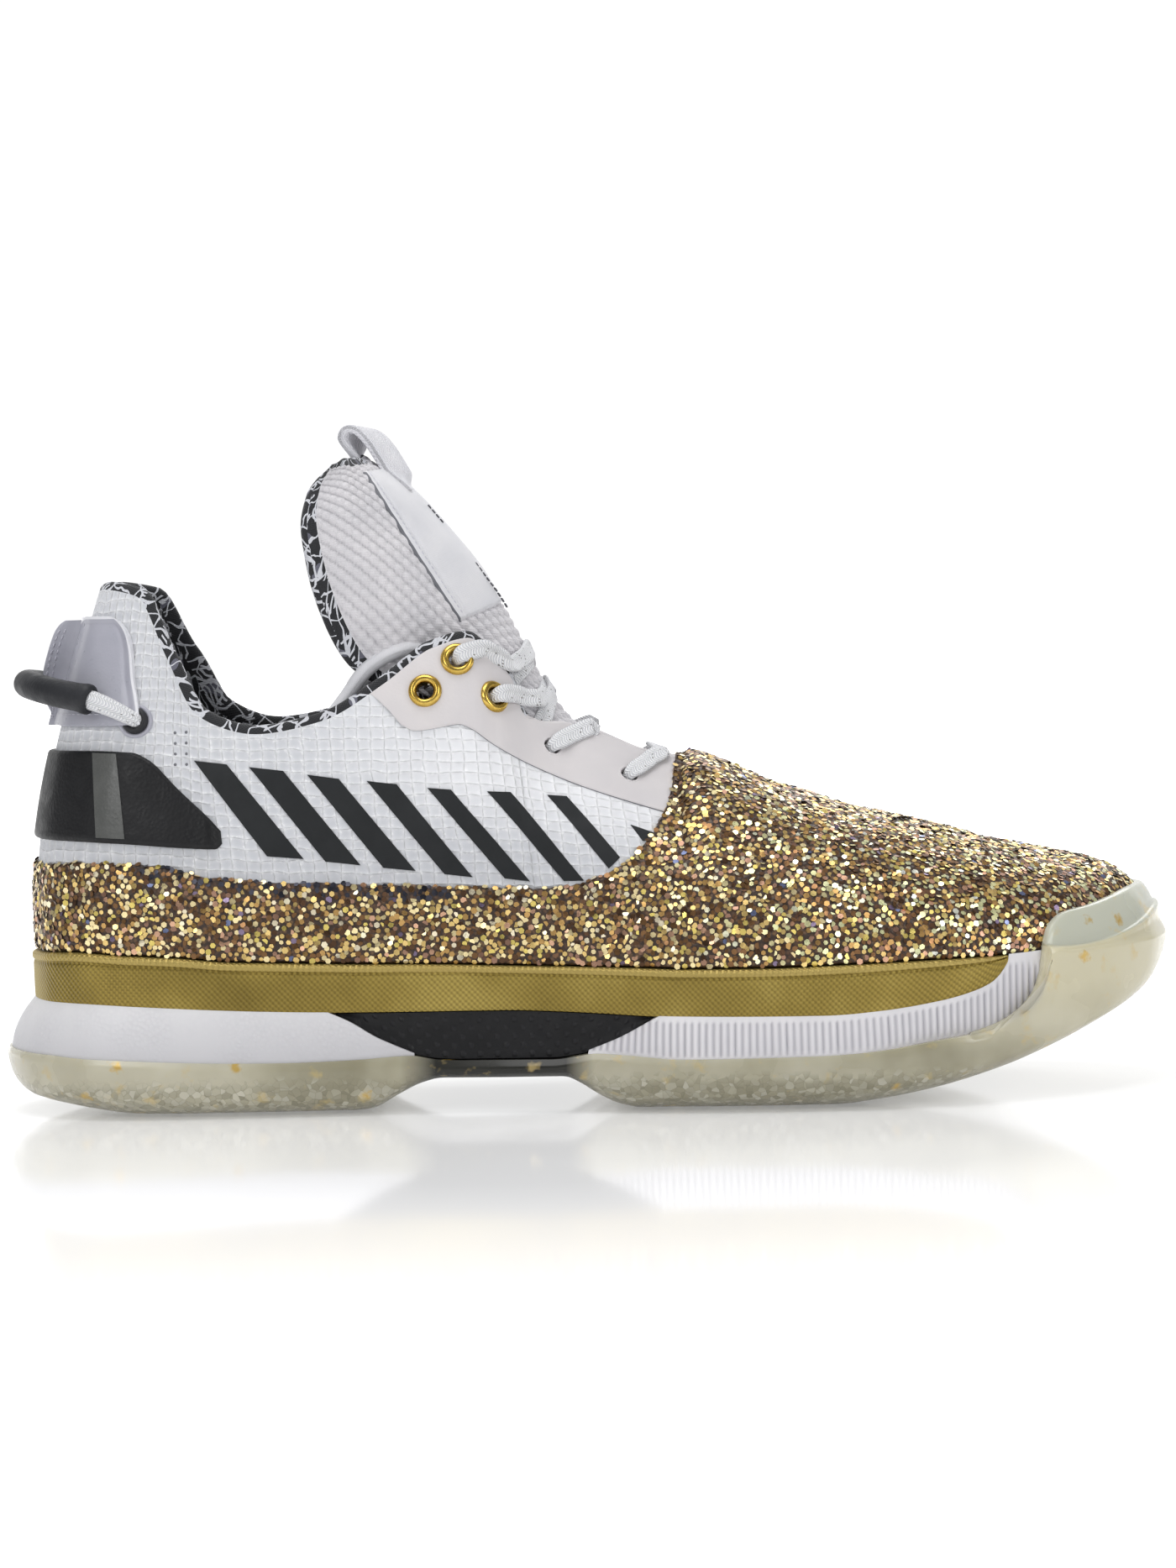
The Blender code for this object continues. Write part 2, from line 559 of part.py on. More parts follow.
def shank_ring(u, side):
    return [at(u, side, off, lambda x, p=part: (shank_low(x) + GAP) * (1 - p) + (float(band_low(x)) - GAP) * p)
            for part, off in ((0.0, 0.3), (0.5, -0.4), (1.0, 0.8))]


def band_ring(u, side):
    return [at(u, side, off, lambda x, p=part: float(band_low(x)) * (1 - p) + float(feather(x)) * p)
            for part, off in ((0.0, 1.5), (0.8, 1.9), (1.0, 0.7))]


def insole_ring(u, side):
    base = [at(u, side, -WALL - 1.0, feather), at(u, side, -WALL - 0.8, feather), at(u, side, -WALL - 1.6, feather)]
    for p, up in zip(base, (GAP, GAP + 0.6 * INSOLE_THICK, GAP + INSOLE_THICK)):
        p[2] += up
    return base


# ------------------------------------------------------------------ upper and overlays
def round_trip(us):
    """Outer side heel to toe, then inner side back to the heel."""
    return [(u, OUTER) for u in us] + [(u, INNER) for u in reversed(us[1:-1])]


def shell_columns(places, low, high, count):
    cols = []
    for u, side in places:
        v0, v1 = low(u, side), high(u, side)
        v = np.linspace(v0, max(v1, v0 + 1e-4), count)
        cols.append(list(skin(np.full(count, u), side, v)))
    return cols


def upper_mesh(us, count):
    points, faces = sheet(shell_columns(round_trip(us), lambda u, s: 0.0, lambda u, s: 1.0, count), True)
    pad = np.zeros(len(points))
    collar_x = row["top_x"](NAMES.index("eyestay_top"))
    for i, p in enumerate(points):
        u = station(p[0])
        drop = float(row["top_z"](u)) - p[2]
        if p[0] < collar_x:
            pad[i] = PAD * float(np.clip(1 - drop / 26.0, 0, 1)) * float(np.clip((collar_x - p[0]) / 14.0, 0, 1))
    return thicken(points, faces, -(WALL + pad), 0.0)


def heel_patch(ends_at, low_line, high_line, count, thick, us):
    """Overlay that wraps round the heel between two side-view lines."""
    u_end = station(ends_at * SX)
    us = [u for u in us if u < u_end - 0.1] + [u_end]
    places = [(u, INNER) for u in reversed(us[1:])] + [(u, OUTER) for u in us]
    cols = shell_columns(places, lambda u, s: height_at(u, s, low_line), lambda u, s: height_at(u, s, high_line), count)
    points, faces = sheet(cols, False)
    return thicken(points, faces, GAP, GAP + thick)


def tab_mesh(count):
    """Heel strap that follows the upper, drawn out at the back into a flat fin."""
    heights = np.linspace(0, 1, count)
    marks = (1.0, 0.8, 0.6, 0.42, 0.26, 0.12)
    outer_face, inner_face = [], []
    for side, order in ((INNER, marks), (OUTER, marks[::-1])):
        for m in order:
            out_col, in_col = [], []
            for h in heights:
                z = 99.8 * SZ + h * (127.4 - 99.8) * SZ - (6.0 * max(0.0, (m - 0.72) / 0.28) ** 2 if h > 0.9 else 0.0)
                u_lo, u_hi = 0.0, 4.0
                want = float(tab_front(z))
                for _ in range(40):
                    mid = 0.5 * (u_lo + u_hi)
                    v = height_at(mid, side, lambda x: np.full_like(x, z))
                    u_lo, u_hi = (mid, u_hi) if skin(mid, side, v)[0] < want else (u_lo, mid)
                u = m * 0.5 * (u_lo + u_hi)
                v = height_at(u, side, lambda x: np.full_like(x, z))
                n = skin_normal(u, side, min(v, 0.99))
                p = skin(u, side, v)
                out_col.append(p + n * (GAP + TAB_THICK))
                in_col.append(p + n * GAP)
            outer_face.append(out_col)
            inner_face.append(in_col)
        if side == INNER:
            for s in (1, -1):
                edge, root, inside = [], [], []
                for h in heights:
                    z = 99.8 * SZ + h * (127.4 - 99.8) * SZ
                    v = height_at(0.0, OUTER, lambda x: np.full_like(x, z))
                    p, n = skin(0.0, OUTER, v), skin_normal(0.0, OUTER, min(v, 0.99))
                    q = p + n * (GAP + TAB_THICK)
                    root.append(np.array([q[0] - 0.8, s * 1.5, q[2]]))
                    edge.append(np.array([min(float(fin_back(z)), q[0] - 1.4), s * 1.1, z]))
                    inside.append(p + n * GAP + np.array([0.0, s * 0.6, 0.0]))
                cols = [root, edge] if s > 0 else [edge, root]
                outer_face += cols
                inner_face += [[p + np.array([0, 0.3 * s, 0]) for p in inside], inside] if s > 0 else \
                    [inside, [p + np.array([0, 0.3 * s, 0]) for p in inside]]
    size = count
    points = [p for c in outer_face for p in c] + [p for c in inner_face for p in c]
    total = len(outer_face) * size
    faces = []
    for k in range(len(outer_face) - 1):
        for j in range(size - 1):
            quad = (k * size + j, (k + 1) * size + j, (k + 1) * size + j + 1, k * size + j + 1)
            faces += [quad, tuple(i + total for i in reversed(quad))]
    directed = {(f[i], f[(i + 1) % 4]) for f in faces for i in range(4) if f[i] < total and f[(i + 1) % 4] < total}
    faces += [(b, a, a + total, b + total) for a, b in directed if (b, a) not in directed]
    return weld(points, faces)


tongue_row = {c: Track(range(len(TONGUE)), [r[i] for r in TONGUE.values()]) for i, c in enumerate(TONGUE_COLUMNS)}


def tongue_skin(q, turn):
    """Outer face of the tongue: section q, angle round it from its middle."""
    ex, ey, ez = (float(tongue_row["edge_" + c](q)) for c in "xyz")
    c = max(math.cos(turn), 0.0)
    return np.array([ex + (float(tongue_row["mid_x"](q)) - ex) * c ** 0.9, ey * math.sin(turn),
                     ez + (float(tongue_row["mid_z"](q)) - ez) * c])


def tongue_normal(q, turn):
    e = 1e-3
    return unit(np.cross(tongue_skin(q, turn + e) - tongue_skin(q, turn - e),
                         tongue_skin(q + e, turn) - tongue_skin(q - e, turn)))


def tongue_mesh(rows_between, columns):
    last = len(TONGUE) - 1
    qs = np.linspace(0, last, last * rows_between + 1)
    cols, depth = [], []
    for a in np.linspace(-math.pi / 2, math.pi / 2, columns):
        cols.append([tongue_skin(q, a) for q in qs])
        depth += [TONGUE_EDGE_THICK + (TONGUE_THICK - TONGUE_EDGE_THICK) * max(math.cos(a), 0.0) ** 0.6
                  * min(1.0, 0.45 + 0.3 * min(q, last - q)) for q in qs]
    points, faces = sheet(cols, False)
    return thicken(points, faces, -np.array(depth), 0.0)


def eyelet_mesh(centre, normal, sides=12):
    profile = ((EYELET_HOLE_R, -2.2), (EYELET_BORE - 0.35, -2.2), (EYELET_BORE - 0.35, 0.45), (EYELET_R, 0.45),
               (EYELET_R - 0.7, 1.4), (EYELET_HOLE_R, 1.1))
    a = unit(np.cross(normal, (0.0, 0.0, 1.0)))
    b = np.cross(normal, a)
    sections = []
    for turn in np.linspace(0, 2 * math.pi, sides, endpoint=False):
        d = math.cos(turn) * a + math.sin(turn) * b
        sections.append([centre + d * r + normal * h for r, h in profile])
    sections.append(sections[0])
    return loft(sections, False, False)


# ------------------------------------------------------------------ the shoe
def build():
    for obj in list(bpy.data.objects):
        bpy.data.objects.remove(obj, do_unlink=True)

    rubber = material("outsole_rubber", (0.50, 0.50, 0.40), 0.35)
    foam = material("white_foam", (0.78, 0.77, 0.79), 0.55)
    black = material("black_plastic", (0.024, 0.024, 0.026), 0.5)
    gold = material("gold_weave", (0.28, 0.21, 0.07), 0.4, 0.4)
    cloth = material("white_weave", (0.75, 0.77, 0.80), 0.75)
    glitter = material("glitter", (0.42, 0.34, 0.22), 0.35, 0.5)
    strap = material("silver_strap", (0.55, 0.54, 0.60), 0.45)
    brass = material("brass", (0.60, 0.46, 0.18), 0.25, 1.0)
    cord = material("white_cord", (0.75, 0.75, 0.76), 0.8)
    bed = material("bed", (0.10, 0.10, 0.10), 0.9)

    # sole, from the floor up
    add("outsole", *stack(sole_stations(9.5, 297.5, (36, 92, 97.5, 103, 109, 115, 146, 150, 154, 160, 166, 208, 248, 254,
                                                     262, 266, 268.5, 270, 272.5, 280)), outsole_ring), rubber)
    add("midsole_heel", *stack(sole_stations(9.5, 104, (86.5, 92, 98)),
                               foam_ring(lambda x: float(out_top(x)), heel_high, heel_spread)), foam)
    add("shank", *stack(sole_stations(88.5, 168, (98, 108, 152, 158)), shank_ring), black)
    add("midsole_forefoot", *stack(sole_stations(155.5, 297.5, (170, 248, 254, 257, 259.5, 266, 280)),
                                   foam_ring(lambda x: float(out_top(x)), ball_high, ball_spread)), foam)
    add("midsole_band", *stack(sole_stations(9.5, 257.8, (248, 254)), band_ring), gold)
    add("insole", *stack(sole_stations(9.5, 297.5), insole_ring), bed)

    # upper with its lace holes
    us = [float(i) for i in range(LAST + 1)] + [0.5, 1.5, 2.5, 13.5, 14.5, 15.5, 19.5, 20.5, 21.5, 22.5, 23.5]
    us = sorted(us)
    upper = add("upper", *upper_mesh(us, 7), cloth)
    spots = {n: find_on_skin(OUTER, x * SX, z * SZ) for n, (x, z) in HOLES.items()}
    points, faces = [], []
    for name, (u, v) in spots.items():
        for side in (OUTER, INNER):
            p, n = skin(u, side, v), skin_normal(u, side, v)
            a = unit(np.cross(n, (0.0, 0.0, 1.0)))
            b = np.cross(n, a)
            r = EYELET_BORE if name in METAL else PUNCH_R
            turn = np.linspace(0, 2 * math.pi, 12, endpoint=False)
            more, cells = loft([[p + n * h + r * (math.cos(t) * a + math.sin(t) * b) for t in turn] for h in (7, -7)],
                               True, True)
            if volume(more, cells) < 0:
                cells = [tuple(reversed(f)) for f in cells]
            faces += [tuple(i + len(points) for i in f) for f in cells]
            points += list(more)
    boolean(upper, cutter(add("lace_holes", np.array(points), faces, cloth)), "DIFFERENCE")

    # proud overlays, cut from the upper's own function
    places = round_trip(us)
    points, faces = sheet(shell_columns(places, lambda u, s: 0.0, lambda u, s: height_at(u, s, rand_top), 7), True)
    add("rand", *thicken(points, faces, 3.4 * GAP, 3.4 * GAP + RAND_THICK), glitter)
    add("heel_counter", *heel_patch(62.5, counter_low, counter_top, 4, COUNTER_THICK, us), black)
    add("heel_tab", *tab_mesh(5), strap)

    # pull loop behind the heel: a cord through a grip tube
    reach = ((2.62, 4.4), (2.3, 4.7), (1.7, 6.0), (1.1, 8.2), (0.55, 10.8), (0.0, 12.3))    # section, stand-off
    half = []
    for u, off in reach:
        x_of = lambda q, s=u: skin(s, OUTER, q)[0]
        z = 105.0
        for _ in range(20):
            v = height_at(u, OUTER, lambda x, z=z: np.full_like(x, z))
            p = skin(u, OUTER, v) + skin_normal(u, OUTER, v) * off
            z = 0.5 * z + 0.5 * (100.6 + (38.0 - p[0]) * 0.31)
        half.append(np.array([p[0], p[1], z]))
    mirrored = [np.array([p[0], -p[1], p[2]]) for p in half[:-1]]
    route = smooth_path(half + mirrored[::-1], 23)
    add("heel_cord", *tube(route, CORD_R, sides=8), cord)
    add("heel_grip", *tube(route[4:-4], GRIP_R, CORD_R + 2 * GAP, sides=8), black)

    # tongue and its pull loop
    add("tongue", *tongue_mesh(1, 11), cloth)
    path = smooth_path([(x * SX, 0.0, z * SZ) for x, z in LOOP_PATH], 15)
    tangents = unit(np.gradient(path, axis=0))
    add("tongue_loop", *ribbon(path, [np.cross(t, (0.0, 1.0, 0.0)) for t in tangents], LOOP_WIDE, LOOP_THICK), strap)

    # eyelets
    for name in METAL:
        for side, word in ((OUTER, "outer"), (INNER, "inner")):
            u, v = spots[name]
            add(f"eyelet_{name}_{word}", *eyelet_mesh(skin(u, side, v), skin_normal(u, side, v)), brass)

    # lace: crossings joined in the middle, and the bar below them
    def over_eyestay(hole, leave, side):
        u, v = spots[hole]
        steps = [(u + (leave - u) * q, v + (0.99 - v) * q) for q in (0.0, 0.33, 0.67, 1.0)]
        rise = 3.2 if hole in METAL else 2.6
        return ([skin(a, side, b) + skin_normal(a, side, b) * rise for a, b in steps],
                [skin_normal(a, side, b) for a, b in steps])

    for name, (hole, leave, middle, dive) in CROSSINGS.items():
        bars = []
        for side in (OUTER, INNER):
            route, ups = over_eyestay(hole, leave, side)
            for q, turn in ((middle, 0.0), (dive, -side * DIVE_TURN)):
                n = tongue_normal(q, turn)
                route.append(tongue_skin(q, turn) + n * 2.3)
                ups.append(n)
            path = smooth_path(route, 10)
            ups = smooth_path(ups, 10)
            bars.append(ribbon(path, ups, LACE_WIDE, LACE_THICK))
        first = add(name, *bars[0], cord)
        boolean(first, cutter(add(name + "_second", *bars[1], cord)), "UNION")
    left, ups_left = over_eyestay(BAR[0], BAR[1], OUTER)
    right, ups_right = over_eyestay(BAR[0], BAR[1], INNER)
    mid = np.array([BAR[2][0] * SX, 0.0, BAR[2][1] * SZ])
    path = smooth_path(left + [mid] + right[::-1], 15)
    ups = smooth_path(ups_left + [np.array([0.35, 0.0, 0.94])] + ups_right[::-1], 15)
    add("lace_bar", *ribbon(path, ups, LACE_WIDE, LACE_THICK), cord)


build()
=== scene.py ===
"""Finished look of the basketball shoe: fine meshes, procedural materials, floor, light and camera.

Tables are millimetres in the shoe's own axes: x from the heel end of the sole, y to the
inner side, z up from the floor.
"""
import math

import bmesh
import bpy
import numpy as np
from mathutils import Matrix, Vector


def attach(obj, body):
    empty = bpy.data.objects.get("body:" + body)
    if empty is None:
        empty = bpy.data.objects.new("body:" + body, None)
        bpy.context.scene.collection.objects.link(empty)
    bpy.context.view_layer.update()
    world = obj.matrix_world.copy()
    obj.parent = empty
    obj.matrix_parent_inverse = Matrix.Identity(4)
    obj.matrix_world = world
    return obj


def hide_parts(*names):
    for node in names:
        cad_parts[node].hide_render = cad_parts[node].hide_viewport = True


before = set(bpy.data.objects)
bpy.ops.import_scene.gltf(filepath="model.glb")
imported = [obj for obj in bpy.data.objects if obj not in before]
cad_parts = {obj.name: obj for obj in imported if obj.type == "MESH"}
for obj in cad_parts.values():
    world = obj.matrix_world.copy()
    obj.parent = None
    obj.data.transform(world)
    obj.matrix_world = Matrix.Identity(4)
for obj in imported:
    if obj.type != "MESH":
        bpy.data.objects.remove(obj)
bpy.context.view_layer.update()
rng = np.random.default_rng(7)

# ------------------------------------------------------------------ driving sizes
LENGTH = 305.0         # sole, heel end to toe end
BALL_WIDTH = 110.4     # sole across the ball
HEEL_HEIGHT = 137.0    # top of the collar at the heel
WALL = 2.2             # upper's wall
PAD = 1.8              # extra wall in the padded collar
GAP = 0.3              # between pieces that meet
INSOLE_THICK = 4.0
LACE_WIDE, LACE_THICK = 6.0, 1.6
CORD_R, GRIP_R = 2.3, 3.5
EYELET_R, EYELET_HOLE_R, EYELET_BORE = 4.2, 2.1, 2.95
PUNCH_R = 2.4          # bare lace holes

SX, SY, SZ = LENGTH / 305.0, BALL_WIDTH / 110.4, HEEL_HEIGHT / 137.0
MM = 0.001
CENTRE = (LENGTH / 2.0, -0.45 * SY)     # plan point that becomes the origin
OUTER, INNER = -1.0, 1.0               # the two sides of the shoe (sign of y)

# ------------------------------------------------------------------ the last: one row per section
# foot_*: the featherline, where the upper meets the sole: x, half width outer / inner
# top_*: the upper's top line: x, half gap outer / inner, height (gap 0 = closed ridge of the vamp)
# rise, bulge: how the section leaves the sole;  lean, pull: how it reaches the top line
# flare: how far the sole stands out past the featherline
COLUMNS = ("foot_x", "foot_out", "foot_in", "top_x", "top_out", "top_in", "top_z",
           "rise", "bulge", "lean", "pull", "flare")
SECTIONS = {
    "heel_back":    (9.5, 0.0, 0.0, 28.5, 0.0, 0.0, 137.0, 33, 3.0, 72, 29, 9.5),
    "heel_turn":    (14.5, 19.0, 19.0, 31.0, 11.5, 11.5, 137.4, 32, 3.0, 74, 29, 8.2),
    "heel_side":    (29.0, 31.0, 30.4, 39.5, 18.0, 18.0, 135.4, 31, 3.0, 77, 29, 6.2),
    "heel_wide":    (45.0, 34.8, 33.4, 47.2, 23.0, 22.8, 119.0, 28, 3.0, 80, 26, 5.0),
    "ankle_back":   (58.0, 36.0, 33.4, 55.0, 27.6, 27.2, 104.6, 24, 2.5, 82, 22, 4.6),
    "ankle":        (74.0, 36.6, 32.8, 70.0, 31.0, 30.2, 99.7, 22, 2.2, 82, 20, 4.2),
    "ankle_front":  (90.0, 37.0, 32.2, 86.5, 31.4, 30.5, 102.6, 22, 2.0, 80, 20, 3.4),
    "collar_rise":  (105.0, 37.6, 31.8, 102.0, 29.8, 29.0, 111.2, 24, 2.0, 75, 22, 2.4),
    "eyestay_top":  (119.0, 38.4, 31.8, 115.0, 27.4, 26.8, 120.2, 26, 2.0, 68, 25, 2.2),
    "eyestay_peak": (128.0, 39.3, 32.2, 124.0, 25.0, 24.6, 122.4, 27, 2.0, 62, 26, 2.4),
    "throat_top":   (135.0, 40.2, 33.0, 131.0, 21.0, 21.0, 116.6, 27, 2.0, 57, 25, 2.8),
    "throat_upper": (143.0, 41.4, 34.2, 138.6, 17.5, 17.5, 106.6, 26, 2.0, 52, 24, 3.4),
    "throat_mid":   (151.0, 42.8, 35.6, 147.0, 15.0, 15.0, 99.4, 26, 1.6, 47, 23, 4.0),
    "throat_low":   (161.0, 44.7, 37.8, 158.0, 13.0, 13.0, 94.6, 25, 1.5, 42, 22, 4.6),
    "throat_end":   (172.0, 46.6, 40.4, 169.5, 10.5, 10.5, 89.6, 24, 1.4, 36, 22, 5.0),
    "throat_turn":  (180.0, 47.8, 42.4, 178.0, 6.5, 6.5, 88.0, 24, 1.2, 28, 22, 5.2),
    "throat_front": (186.0, 48.6, 43.8, 181.5, 0.0, 0.0, 88.2, 23, 1.0, 16, 25, 5.4),
    "vamp":         (200.0, 49.8, 46.6, 196.5, 0.0, 0.0, 82.2, 21, 1.0, 8, 28, 5.6),
    "ball":         (218.0, 50.0, 48.8, 213.0, 0.0, 0.0, 75.6, 19, 1.0, 5, 29, 5.6),
    "toe_base":     (238.0, 47.6, 49.2, 230.0, 0.0, 0.0, 70.9, 17, 1.0, 4, 28, 5.6),
    "toe_side":     (258.0, 41.6, 46.6, 245.5, 0.0, 0.0, 66.9, 15, 1.0, 3, 26, 5.6),
    "toe_round":    (275.0, 32.4, 40.2, 257.0, 0.0, 0.0, 63.7, 13, 1.0, 2, 24, 6.0),
    "toe_turn":     (287.0, 21.2, 31.2, 264.5, 0.0, 0.0, 61.7, 13, 1.0, 2, 22, 6.6),
    "toe_corner":   (294.5, 8.2, 19.8, 269.0, 0.0, 0.0, 60.8, 14, 1.2, 1, 21, 7.2),
    "toe_tip":      (297.5, -6.2, 6.2, 271.0, 0.0, 0.0, 60.4, 14, 1.4, 1, 21, 7.5),
}
NAMES = list(SECTIONS)
LAST = len(NAMES) - 1
RIDGE_FROM = NAMES.index("throat_front")

# ridge of the vamp: how far it sits toward the inner side
RIDGE = ((181.5, 0.0), (196.5, 0.8), (213.0, 2.0), (230.0, 3.4), (245.5, 4.6), (271.0, 6.2))
# heights along the shoe (x, z)
FEATHER = ((8, 41.6), (22, 42.4), (35, 41.6), (47, 41.0), (62, 39.6), (78, 39.0), (95, 38.4), (115, 38.0),
           (132, 37.4), (150, 36.9), (165, 36.4), (177, 35.9), (199, 35.8), (213, 36.1), (240, 36.7),
           (258, 37.0), (270, 37.6), (285, 38.4), (298, 39.2))
BAND_LOW = ((8, 29.4), (22, 29.3), (38, 28.6), (54, 27.7), (70, 26.9), (86, 26.4), (115, 26.2), (132, 26.2),
            (144, 25.8), (155, 25.2), (171, 24.2), (184, 23.9), (199, 23.7), (212, 23.6), (225.5, 24.4),
            (240, 26.3), (247, 27.8), (254, 30.4), (257, 33.2), (258.5, 35.6))
OUT_TOP = ((0, 16.8), (14, 16.5), (23, 15.8), (35, 15.3), (47, 14.7), (62, 14.2), (77, 14.0), (93, 14.3),
           (107, 15.0), (114, 13.9), (120, 13.6), (143, 13.7), (150, 14.6), (154, 15.2), (161, 14.8), (176, 13.6),
           (198, 13.8), (212, 14.0), (225.5, 14.9), (240, 16.9), (247.5, 17.8), (256, 19.6), (270, 23.4),
           (285, 28.0), (298, 32.0), (306, 34.0))
WRAP_TOP = ((247.5, 17.8), (256, 20.2), (262, 23.4), (266.5, 28.0), (268.6, 33.5), (269.8, 41.0), (272, 44.4),
            (277, 46.9), (285.5, 48.2), (294, 49.8), (299, 51.0), (306, 52.0))
GROUND = ((-1, 16.0), (0, 14.0), (1, 10.6), (3, 7.0), (7, 4.4), (12.6, 3.0), (19, 1.9), (27, 0.9), (35, 0.15),
          (40, 0), (92, 0), (97.5, 0.8), (103, 3.8), (110, 7.2), (115, 8.3), (146, 8.3), (150, 6.6), (154, 4.0),
          (160, 1.1), (166, 0), (214, 0), (225, 1.0), (240, 3.4), (250, 5.7), (260, 8.5), (270, 12.0), (280, 16.0),
          (290, 20.8), (297, 25.4), (302, 30.6), (305, 36.4), (307, 40))
REAR_RAMP = ((86.5, 26.2), (92, 23.6), (98.5, 19.6), (108, 15.3))     # heel foam under the shank
FRONT_RAMP = ((152, 15.4), (160, 18.6), (170, 24.0))                  # ball foam under the shank
RAND_TOP = ((7, 64.4), (20, 65.0), (33.5, 65.2), (48.4, 63.5), (58, 61.1), (72.7, 59.8), (92, 58.9), (111.5, 58.0),
            (131, 57.2), (145, 56.8), (155, 58.8), (160, 60.7), (164.6, 64.0), (169.4, 68.7), (172.4, 73.3),
            (174.6, 78.0), (175.6, 82.6), (176.0, 86.0), (176.4, 100.0))
COUNTER_TOP = ((8, 93.4), (25, 93.6), (38, 93.0), (42, 91.2), (50, 83.2), (58, 75.6), (61.5, 71.6))
COUNTER_LOW = ((8, 71.0), (20, 70.8), (36, 70.0), (50, 68.8), (59, 68.3), (61.5, 70.6))
TAB_TOP = ((20, 127.6), (30, 127.4), (33, 125.6), (36, 121.5))
TAB_LOW = ((8, 99.6), (30, 99.6), (40, 101.0))
TAB_FRONT = ((99, 40.4), (106.5, 39.6), (112, 38.2), (122.5, 35.8), (128, 34.0))   # z, x of its front edge
FIN_BACK = ((99.6, 16.4), (101.5, 15.2), (105, 13.2), (110, 11.9), (113, 12.2), (120, 14.0), (127.6, 17.0))  # z, x

# tongue: centre line and edge of each section
TONGUE_COLUMNS = ("mid_x", "mid_z", "edge_x", "edge_y", "edge_z")
TONGUE = {
    "tip":   (181.0, 79.6, 177.0, 12.0, 76.5),
    "vamp":  (171.0, 83.8, 165.0, 16.5, 78.5),
    "low":   (158.5, 90.2, 150.0, 19.0, 84.5),
    "mid":   (149.0, 98.4, 134.0, 20.2, 93.0),
    "laced": (141.8, 109.0, 117.0, 20.8, 101.5),
    "bend":  (137.2, 118.3, 104.5, 21.2, 107.0),
    "ankle": (132.0, 128.4, 94.0, 22.6, 114.0),
    "rise":  (125.2, 138.5, 88.0, 25.6, 125.5),
    "shin":  (118.0, 147.6, 84.6, 27.2, 138.0),
    "upper": (111.0, 155.8, 83.3, 27.2, 149.5),
    "brow":  (104.5, 162.0, 85.2, 25.0, 158.8),
    "top":   (97.5, 167.4, 90.0, 19.5, 165.4),
}
TONGUE_THICK, TONGUE_EDGE_THICK = 6.0, 3.4
LOOP_PATH = ((106.6, 162.4), (105.6, 167.0), (103.2, 171.6), (99.2, 174.4), (95.6, 174.6), (93.6, 172.6),
             (93.7, 170.6))
LOOP_WIDE, LOOP_THICK = 15.0, 2.0

# lace holes on the outer side, from the top: x, z; the upper three carry metal eyelets
HOLES = {"top": (113.1, 107.0), "second": (121.3, 114.7), "third": (130.1, 104.9),
         "fourth": (144.7, 91.7), "fifth": (164.3, 83.8)}
METAL = ("top", "second", "third")
# lace crossings: upper hole, section where it leaves the eyestay, tongue section under the crossing and its dive
CROSSINGS = {
    "lace_cross_top":    ("second", 10.3, 4.80, 4.45),
    "lace_cross_middle": ("third", 11.3, 3.80, 3.50),
    "lace_cross_low":    ("fourth", 12.7, 2.60, 2.35),
}
DIVE_TURN = 0.40      # radians round the tongue
BAR = ("fifth", 14.3, (171.4, 92.0))


# ------------------------------------------------------------------ curves through table rows
class Track:
    """Smooth curve through (knot, value) rows that never overshoots them."""

    def __init__(self, knots, values, flat_ends=False):
        k, v = np.asarray(knots, float), np.asarray(values, float)
        h = np.diff(k)
        s = np.diff(v) / h
        d = np.zeros_like(v)
        same = s[:-1] * s[1:] > 0
        a, b = np.where(same, s[:-1], 1.0), np.where(same, s[1:], 1.0)
        wa, wb = 2 * h[1:] + h[:-1], h[1:] + 2 * h[:-1]
        d[1:-1] = np.where(same, (wa + wb) / (wa / a + wb / b), 0.0)
        if not flat_ends:
            d[0], d[-1] = s[0], s[-1]
        self.k, self.v, self.h, self.d = k, v, h, d

    def __call__(self, q):
        q = np.clip(np.asarray(q, float), self.k[0], self.k[-1])
        i = np.clip(np.searchsorted(self.k, q, side="right") - 1, 0, len(self.h) - 1)
        h = self.h[i]
        t = (q - self.k[i]) / h
        t2, t3 = t * t, t * t * t
        return ((2 * t3 - 3 * t2 + 1) * self.v[i] + (t3 - 2 * t2 + t) * h * self.d[i]
                + (3 * t2 - 2 * t3) * self.v[i + 1] + (t3 - t2) * h * self.d[i + 1])


def along(rows, sx=1.0, sz=1.0):
    return Track([r[0] * sx for r in rows], [r[1] * sz for r in rows])


table = {c: np.array([SECTIONS[n][i] for n in NAMES], float) for i, c in enumerate(COLUMNS)}
for c in ("foot_x", "top_x"):
    table[c] *= SX
for c in ("foot_out", "foot_in", "top_out", "top_in", "flare"):
    table[c] *= SY
for c in ("top_z", "rise"):
    table[c] *= SZ
EVEN = ("foot_x", "top_x", "top_z", "rise", "bulge", "lean", "pull", "flare")
row = {c: Track(range(LAST + 1), table[c], flat_ends=c in EVEN) for c in COLUMNS}
ridge_y = along(RIDGE, SX, SY)
feather, band_low, out_top, wrap_top = (along(t, SX, SZ) for t in (FEATHER, BAND_LOW, OUT_TOP, WRAP_TOP))
ground, rear_ramp, front_ramp = (along(t, SX, SZ) for t in (GROUND, REAR_RAMP, FRONT_RAMP))
rand_top, counter_top, counter_low = (along(t, SX, SZ) for t in (RAND_TOP, COUNTER_TOP, COUNTER_LOW))
tab_top, tab_low = (along(t, SX, SZ) for t in (TAB_TOP, TAB_LOW))
tab_front, fin_back = (along(t, SZ, SX) for t in (TAB_FRONT, FIN_BACK))


